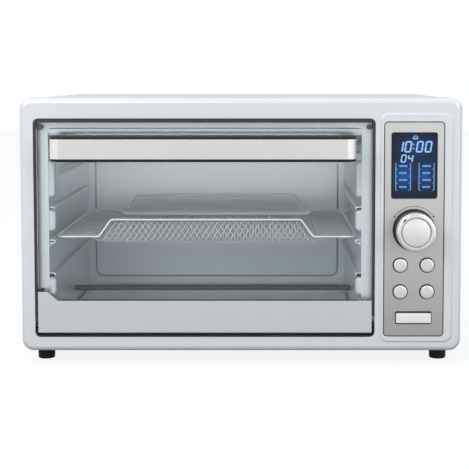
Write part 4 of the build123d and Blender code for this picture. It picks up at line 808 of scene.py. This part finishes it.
gasket_lap, gasket_reach, gasket_proud, gasket_depth = 0.0005, 0.00066, 0.00006, 0.0011
gasket_inner, gasket_outer = plate_outline(-gasket_lap), plate_outline(gasket_reach)
gasket_front, gasket_back = plate_low.y - gasket_proud, plate_low.y + gasket_depth
gasket_mesh = lofted([
    (gasket_inner, gasket_front), (gasket_outer, gasket_front), (gasket_outer, gasket_back),
    (gasket_inner, gasket_back),
], ends="looped")
set_down("plate_gasket", gasket_mesh, shade_gasket_foam, "control_plate", slot="bumper_rubber")
knob_low, knob_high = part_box("knob")
knob_x, knob_z = (knob_low.x + knob_high.x) / 2, (knob_low.z + knob_high.z) / 2
print_ink = worked_material(
    "dark_grey_print", Color=(0.09, 0.085, 0.08, 1), Color_Change=0.1, Roughness=0.5, Grain_Scale=1500,
)
arc_radius, arc_width, arc_half_angle, ink_height = 0.0268, 0.0006, 50, 0.00006
dot_radius, dot_angle, dot_hole = 0.0011, radians(55), 0.02


def ink_ring(shell, x, z, inner, outer, start, end, steps):
    # a flat band or disc of print lying on the plate, with a little thickness
    rings = []
    for k in range(steps + 1):
        angle = radians(start + (end - start) * k / steps)
        rings.append([
            (x + radius * sin(angle), plate_low.y - lift, z + radius * cos(angle))
            for radius, lift in ((inner, 0), (inner, ink_height), (outer, ink_height), (outer, 0))
        ])
    skin(shell, rings, ends="open" if end - start == 360 else "capped")


scale = bmesh.new()
ink_ring(scale, knob_x, knob_z, arc_radius, arc_radius + arc_width, -arc_half_angle, arc_half_angle, steps=40)
for side in (-1, 1):
    dot_x = knob_x + side * arc_radius * sin(dot_angle)
    dot_z = knob_z + arc_radius * cos(dot_angle)
    ink_ring(scale, dot_x, dot_z, dot_radius * dot_hole, dot_radius, 0, 360, steps=16)
set_down("knob_scale", shell_mesh(scale, merge=True, outward=True), print_ink, "control_plate")


# Display: a smoked cover with a blue glow behind it, and lit segments showing plain clock digits,
# two counting digits and two bracketed columns of bars.

window_low, window_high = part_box("display_window")
window_middle = (window_low + window_high) / 2
display_black = worked_material(
    "smoked_display_cover", Color=(0.010, 0.012, 0.020, 1), Color_Change=0.2, Roughness=0.12,
    Roughness_Change=0.06, Grain_Scale=400, Patch_Scale=40, Specular_IOR_Level=0.2, Emission_Strength=1.0,
)
display_tree = display_black.node_tree
display_node = partial(add_node, display_tree)
display_place = display_node("TexCoord").outputs["Object"]
glow_total = None
# each glow is centred right and up of the window's middle, in millimetres, with its half sizes
for right, up, half_wide, half_high, tint in (
    (0, 2, 60, 90, (0.004, 0.015, 0.042)),
    (3, 21.5, 32, 18, (0.001, 0.040, 0.17)),
    (-12.0, -11, 17, 27, (0.001, 0.085, 0.36)),
    (12.5, -11, 15, 25, (0.001, 0.070, 0.29)),
):
    mapping = display_node("Mapping", {
        "Vector": display_place, "Scale": (half_wide / 1000, 1.0, half_high / 1000),
        "Location": (window_middle.x + right / 1000, window_low.y, window_middle.z + up / 1000),
    })
    mapping.vector_type = "TEXTURE"
    ball = display_node("TexGradient", {"Vector": mapping})
    ball.gradient_type = "QUADRATIC_SPHERE"
    glow = display_node("VectorMath", {0: tint, "Scale": ball.outputs["Fac"]}, "SCALE")
    if glow_total:
        glow_total = display_node("VectorMath", {0: glow_total, 1: glow}, "ADD")
    else:
        glow_total = glow
display_shader = display_tree.nodes["Principled BSDF"]
display_tree.links.new(glow_total.outputs[0], display_shader.inputs["Emission Color"])
plain_finish(display_black, "display_window")

# printed segments lit from behind, with slight unevenness
backlit_print = {
    "Color_Change": 0.5, "Roughness": 0.2, "Grain_Scale": 1500, "Patch_Scale": 90,
    "Base_Color": (0.02, 0.04, 0.08, 1), "Emission_Strength": 1.0, "color_to": "Emission Color",
}
segment_light = worked_material("lit_segments", Color=(0.30, 0.56, 0.90, 1), **backlit_print)
bar_light = worked_material("lit_bars", Color=(0.10, 0.27, 0.58, 1), **backlit_print)
segment_lift, segment_slant, stroke_trim = 0.00004, 0.16, 0.15
digit_strokes = {
    "a": ((0, 1), (1, 1)), "b": ((1, 1), (1, 0.5)), "c": ((1, 0.5), (1, 0)), "d": ((0, 0), (1, 0)),
    "e": ((0, 0), (0, 0.5)), "f": ((0, 0.5), (0, 1)), "g": ((0, 0.5), (1, 0.5)),
}
digit_segments = {"0": "abcdef", "1": "bc", "4": "bcfg"}


def lit_stroke(shell, start, end, width):
    # a flat stroke between two points given right and up of the window's middle, in millimetres
    start, end = Vector(start), Vector(end)
    along = (end - start).normalized()
    across = Vector((-along.y, along.x)) * (width / 2)
    inset = along * (width * stroke_trim)
    start, end, y = start + inset, end - inset, window_low.y - segment_lift
    face = shell.faces.new([
        shell.verts.new((window_middle.x + corner.x / 1000, y, window_middle.z + corner.y / 1000))
        for corner in (start + across, start - across, end - across, end + across)
    ])
    face.normal_update()
    if face.normal.y > 0:
        face.normal_flip()


def lit_digits(shell, digits, low, wide, high, width):
    # slanted segment digits, each with the place of its left edge
    for digit, left in digits:
        for segment in digit_segments[digit]:
            points = []
            for right, up in digit_strokes[segment]:
                points.append((left + right * wide + segment_slant * (up * high), low + up * high))
            lit_stroke(shell, *points, width)


segments = bmesh.new()
clock_low = 15.7
clock_digits = (("1", -20.2), ("0", -11.0), ("0", 2.0), ("0", 11.8))
lit_digits(segments, clock_digits, low=clock_low, wide=6.0, high=11.2, width=1.75)
colon_x, colon_lean, colon_rise = -1.4, 0.2, 1.6
for up in (2.8, 7.4):
    colon_low, colon_high = (colon_x, clock_low + up), (colon_x + colon_lean, clock_low + up + colon_rise)
    lit_stroke(segments, colon_low, colon_high, width=1.5)
lit_digits(segments, (("0", -15.2), ("4", -7.6)), low=4.2, wide=4.8, high=7.6, width=1.45)

# a small domed sign above the clock: half a ring on a base line
sign_x, sign_z, sign_radius, sign_foot, sign_half_foot = 0.9, 31.0, 2.6, 0.6, 3.2
sign_points = [
    (sign_x + sign_radius * cos(radians(a)), sign_z + sign_radius * sin(radians(a)))
    for a in range(0, 181, 30)
]
for start, end in zip(sign_points, sign_points[1:]):
    lit_stroke(segments, start, end, width=1.0)
foot_ends = [(sign_x + side * sign_half_foot, sign_z - sign_foot) for side in (-1, 1)]
lit_stroke(segments, *foot_ends, width=1.2)
set_down("display_segments", shell_mesh(segments), segment_light, "display_window")

bars = bmesh.new()
bracket_high, bracket_low, bracket_tick, tick_drop = 3.2, -27.6, 2.2, 3.7
bar_heights, bar_inset_left, bar_inset_right, bar_step = (-0.4, -8.3, -16.2, -24.1), 3.4, 3.2, 0.8
for left, right in ((-21.0, -4.4), (5.2, 22.2)):
    for side, inward in ((left, 1), (right, -1)):
        lit_stroke(bars, (side, bracket_high), (side, bracket_low), width=1.1)
        for up in bar_heights:
            tick_z = up - tick_drop
            lit_stroke(bars, (side, tick_z), (side + inward * bracket_tick, tick_z), width=0.8)
    for number, up in enumerate(bar_heights):
        bar_end = right - bar_inset_right - bar_step * (number % 2)
        lit_stroke(bars, (left + bar_inset_left, up), (bar_end, up), width=2.1)
set_down("display_bars", shell_mesh(bars), bar_light, "display_window")


# Knob: a black moulded skirt on a black ring, both painted shade for the shadow gap under the knob,
# capped by a polished plated shell with a rounded front edge, a small dark mark on its rim and a raised
# satin disc in its middle.

knob_metal = worked_material(
    "polished_plating", Color=(0.92, 0.93, 0.935, 1), Color_Change=0.05, Roughness=0.16,
    Roughness_Change=0.06, Grain_Scale=700, Patch_Scale=30, Metallic=0.85,
)
satin_metal = worked_material(
    "satin_plated_face", Color=(0.92, 0.93, 0.94, 1), Roughness=0.32, Grain_Scale=2600,
    Patch_Scale=30, Metallic=0.8,
)
# painted shade: the groove between rim and disc is plating darkened to grey, for the shadow in it
groove_shade_metal = worked_material(
    "painted_shade_groove_plating", Color=(0.34, 0.35, 0.36, 1), Color_Change=0.1, Roughness=0.4,
    Roughness_Change=0.1, Metallic=0.8,
)
# painted shade: the ring under the knob is black, for the shadow round the knob's base
smooth_finish(black_mould, "knob_ring")


def turned_piece(name, profile, x, z, material, node, stands_for=(), segments=72):
    # turned about a line that runs front to back, from radius and depth pairs in millimetres
    mesh = turned_mesh([(radius / 1000, depth / 1000) for radius, depth in profile], segments)
    mesh.transform(Matrix.Translation((x, front_face_y, z)) @ Matrix.Rotation(radians(-90), 4, "X"))
    set_down(name, mesh, material, node, stands_for)


knob_back = (knob_high.y - front_face_y) * 1000
knob_front = (knob_low.y - front_face_y) * 1000
knob_base_radius = (knob_high.x - knob_low.x) / 2 * 1000
skirt_share, skirt_slack, skirt_overlap = 0.62, 0.1, 0.4
skirt_front = knob_back + skirt_share * (knob_front - knob_back)
skirt_tip = skirt_front - skirt_overlap
shell_inset, shell_round, shell_bevel, shell_bevel_depth = 1.0, 2.4, 0.5, 0.6
shell_radius = knob_base_radius - shell_inset
# painted shade: the skirt is black, for the shadow gap at the knob's base
turned_piece(
    "knob_skirt",
    [(0, knob_back), (knob_base_radius - skirt_slack, knob_back), (shell_radius - skirt_slack, skirt_tip),
     (0, skirt_tip)],
    knob_x, knob_z, black_mould, "knob",
)
rim_inner, rim_bevel, rim_bevel_depth = 17.0, 0.4, 0.35
groove_depth, groove_slack, groove_thickness = 1.9, 0.02, 0.3
groove_back = knob_front + groove_depth
groove_front = groove_back - groove_thickness
rounding = [
    (shell_radius - shell_round * (1 - cos(radians(a))), knob_front + shell_round * (1 - sin(radians(a))))
    for a in range(0, 91, 15)
]
turned_piece(
    "knob_shell",
    [(0, skirt_front), (shell_radius - shell_bevel, skirt_front),
     (shell_radius, skirt_front - shell_bevel_depth), *rounding, (rim_inner + rim_bevel, knob_front),
     (rim_inner, knob_front + rim_bevel_depth), (rim_inner, groove_back), (0, groove_back)],
    knob_x, knob_z, knob_metal, "knob", ["knob"],
)
turned_piece(
    "knob_groove",
    [(0, groove_back), (rim_inner - groove_slack, groove_back), (rim_inner - groove_slack, groove_front),
     (0, groove_front)],
    knob_x, knob_z, groove_shade_metal, "knob",
)
cap_radius = 15.7
turned_piece(
    "knob_disc",
    [(0, groove_front), (cap_radius, groove_front), (cap_radius, knob_front + 0.7),
     (cap_radius - 0.35, knob_front + 0.25), (cap_radius - 1.2, knob_front + 0.08), (0, knob_front + 0.02)],
    knob_x, knob_z, satin_metal, "knob_cap", ["knob_cap"],
)
mark_angle, mark_reach, mark_half_length, mark_half_width = radians(135), 19.4, 2.9, 1.15
mark_steps, mark_proud, mark_depth = 20, 0.00018, 0.0014
mark_points = []
for k in range(mark_steps):
    angle = 2 * pi * k / mark_steps
    along = mark_half_length * cos(angle)
    across = mark_reach + mark_half_width * sin(angle)
    mark_points.append((
        knob_x + (across * cos(mark_angle) - along * sin(mark_angle)) / 1000,
        knob_z + (across * sin(mark_angle) + along * cos(mark_angle)) / 1000,
    ))
mark_mesh = lofted([(mark_points, knob_low.y - mark_proud), (mark_points, knob_low.y + mark_depth)])
set_down("knob_mark", mark_mesh, black_mould, "knob")


# Push buttons: black moulded bodies with plated caps, four round and domed, and a wide one with a
# white cap; the black body shows as a dark line round each cap, painted shade for the gap's shadow.

# painted shade: each button body is black, for the shadow in the gap round its cap
for node in ("button_upper_left", "button_upper_right", "button_lower_left", "button_lower_right"):
    smooth_finish(black_mould, node, crease=40)
    button_low, button_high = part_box(node)
    face = (button_low.y - front_face_y) * 1000
    turned_piece(
        node + "_cap",
        [(0, face + 0.8), (7.75, face + 0.8), (7.75, face + 0.35), (7.5, face + 0.02), (6.9, face - 0.16),
         (5.0, face - 0.26), (0, face - 0.32)],
        (button_low.x + button_high.x) / 2, (button_low.z + button_high.z) / 2,
        satin_metal, node, segments=48,
    )
start_white = worked_material(
    "white_button_moulding", Color=(0.74, 0.755, 0.765, 1), Color_Change=0.03, Roughness=0.28,
    Coat_Weight=0.3,
)
smooth_finish(black_mould, "start_button", crease=40)
start_low, start_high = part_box("start_button")
start_x, start_z = (start_low.x + start_high.x) / 2, (start_low.z + start_high.z) / 2
start_half_width, start_half_height, start_corner = 0.0199, 0.0058, 0.0014


def start_outline(shrink):
    return rounded_outline(
        (start_x - start_half_width + shrink, start_z - start_half_height + shrink),
        (start_x + start_half_width - shrink, start_z + start_half_height - shrink),
        start_corner - shrink,
    )


# the cap's edge rolls over in three steps, each with how far it shrinks and its depth
start_steps = ((0, 0.0008), (0, 0.0001), (0.00025, -0.0002), (0.0007, -0.0003))
start_mesh = lofted([(start_outline(shrink), start_low.y + depth) for shrink, depth in start_steps])
set_down("start_button_cap", start_mesh, start_white, "start_button")


# Basket: a bright round-wire rim resting on the middle rails, carrying a tray of expanded steel
# mesh bent up at its sides, with an upright mesh strip under the raised wire at front and back.

basket_wire = worked_material(
    "bright_basket_wire", Color=(0.92, 0.925, 0.93, 1), Color_Change=0.06, Roughness=0.22,
    Roughness_Change=0.06, Grain_Scale=700, Metallic=0.7,
)
smooth_finish(basket_wire, "basket_rim", crease=60)
mesh_steel = worked_material(
    "expanded_mesh_steel", Color=(0.72, 0.75, 0.765, 1), Color_Change=0.2, Roughness=0.35,
    Roughness_Change=0.1, Grain_Scale=500, Metallic=0.5,
)
mesh_tree = bpy.data.node_groups.new("expanded_mesh", "GeometryNodeTree")
measures = (
    "Cell Width", "Cell Length", "Length", "Half Width Near", "Half Width Far", "Strand", "Flat Half Width",
    "Wing Half Width", "Wing Rise",
)
mesh_inputs = add_sockets(mesh_tree, (("Geometry", "Geometry"),), (
    ("Geometry", "Geometry", None),
    *((label, "Float", 0.0) for label in measures),
    ("Cells", "Int", 1),
    ("Finish", "Material", None),
))
weave_node = partial(add_node, mesh_tree)
weave_math = partial(math_node, mesh_tree)
given = weave_node("NodeGroupInput").outputs


def weave_position():
    # X, Y and Z of each point where it lies at that stage
    point = weave_node("GeometryNodeInputPosition")
    return weave_node("SeparateXYZ", {0: point}).outputs


# a square grid turned half a right angle and squeezed gives the crossings of the strands
size, count = given["Cells"], weave_math("ADD", given["Cells"], 1)
grid = weave_node(
    "GeometryNodeMeshGrid", {"Size X": size, "Size Y": size, "Vertices X": count, "Vertices Y": count}
)
at = weave_position()
turned_x, turned_y = weave_math("ADD", at["X"], at["Y"]), weave_math("SUBTRACT", at["Y"], at["X"])
crossing = weave_node("CombineXYZ", {
    "X": weave_math("MULTIPLY", turned_x, weave_math("MULTIPLY", given["Cell Width"], 0.5)),
    "Y": weave_math("MULTIPLY", turned_y, weave_math("MULTIPLY", given["Cell Length"], 0.5)),
})
spread = weave_node("GeometryNodeSetPosition", {"Geometry": grid, "Position": crossing})

# crossings beyond the tray's outline are cut away
at = weave_position()
along = weave_math("ADD", weave_math("DIVIDE", at["Y"], given["Length"]), 0.5)
half_width = map_range(mesh_tree, along, 0.0, 1.0, given["Half Width Near"], given["Half Width Far"])
past_side = weave_math("GREATER_THAN", weave_math("ABSOLUTE", at["X"]), half_width)
past_end = weave_math("GREATER_THAN", weave_math("ABSOLUTE", weave_math("SUBTRACT", along, 0.5)), 0.5)
trimmed = weave_node("GeometryNodeDeleteGeometry", {
    "Geometry": spread, "Selection": weave_math("MAXIMUM", past_side, past_end),
})
trimmed.domain = "POINT"

# the sides bend up towards the rim wire
side = weave_math("ABSOLUTE", weave_position()["X"])
rise = map_range(
    mesh_tree, side, given["Flat Half Width"], given["Wing Half Width"], 0.0, given["Wing Rise"]
)
lift = weave_node("CombineXYZ", {"Z": rise})
bent = weave_node("GeometryNodeSetPosition", {"Geometry": trimmed, "Offset": lift})
lines = weave_node("GeometryNodeMeshToCurve", {"Mesh": bent})
section = weave_node(
    "GeometryNodeCurvePrimitiveQuadrilateral", {"Width": given["Strand"], "Height": given["Strand"]}
)
solid = weave_node("GeometryNodeCurveToMesh", {"Curve": lines, "Profile Curve": section, "Fill Caps": True})
finish_tree(mesh_tree, solid, given["Finish"])


def expanded_mesh(name, place, sizes, stands_for=()):
    # strands woven to the sizes given, then carried from the origin to their place
    values = {**sizes, "Finish": mesh_steel}
    finished = grown(name, bpy.data.meshes.new(name), mesh_tree, mesh_inputs, values)
    finished.transform(place)
    set_down(name, finished, mesh_steel, "basket_mesh", stands_for)


tray_low, tray_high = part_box("basket_mesh")
tray_middle = (tray_low + tray_high) / 2
tray_half_width = (tray_high.x - tray_low.x) / 2
rim_low, rim_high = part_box("basket_rim")
wire_thickness, strand, cell_width, tray_lift, tray_trim = 0.0025, 0.0009, 0.007, 0.0005, 0.001
floor_height = tray_low.z + tray_lift
side_wire_height = rim_low.z + wire_thickness / 2
expanded_mesh(
    "basket_tray",
    Matrix.Translation((tray_middle.x, tray_middle.y, floor_height)),
    {"Cell Width": cell_width, "Cell Length": 0.0105, "Length": tray_high.y - tray_low.y - tray_trim,
     "Half Width Near": tray_half_width, "Half Width Far": tray_half_width, "Strand": strand,
     "Flat Half Width": 0.126, "Wing Half Width": 0.134, "Wing Rise": side_wire_height - floor_height,
     "Cells": 80},
    ["basket_mesh"],
)
wall_height = rim_high.z - wire_thickness - floor_height
strip_places = (("basket_front_strip", tray_low.y + strand), ("basket_rear_strip", tray_high.y - strand))
for name, wall_y in strip_places:
    upright = Matrix.Translation((tray_middle.x, wall_y, floor_height + wall_height / 2))
    expanded_mesh(
        name,
        upright @ Matrix.Rotation(radians(90), 4, "X"),
        {"Cell Width": cell_width, "Cell Length": 0.0104, "Length": wall_height, "Half Width Near": 0.1240,
         "Half Width Far": 0.1095, "Strand": strand, "Flat Half Width": 0.2, "Wing Half Width": 0.3,
         "Wing Rise": 0.0, "Cells": 56},
    )
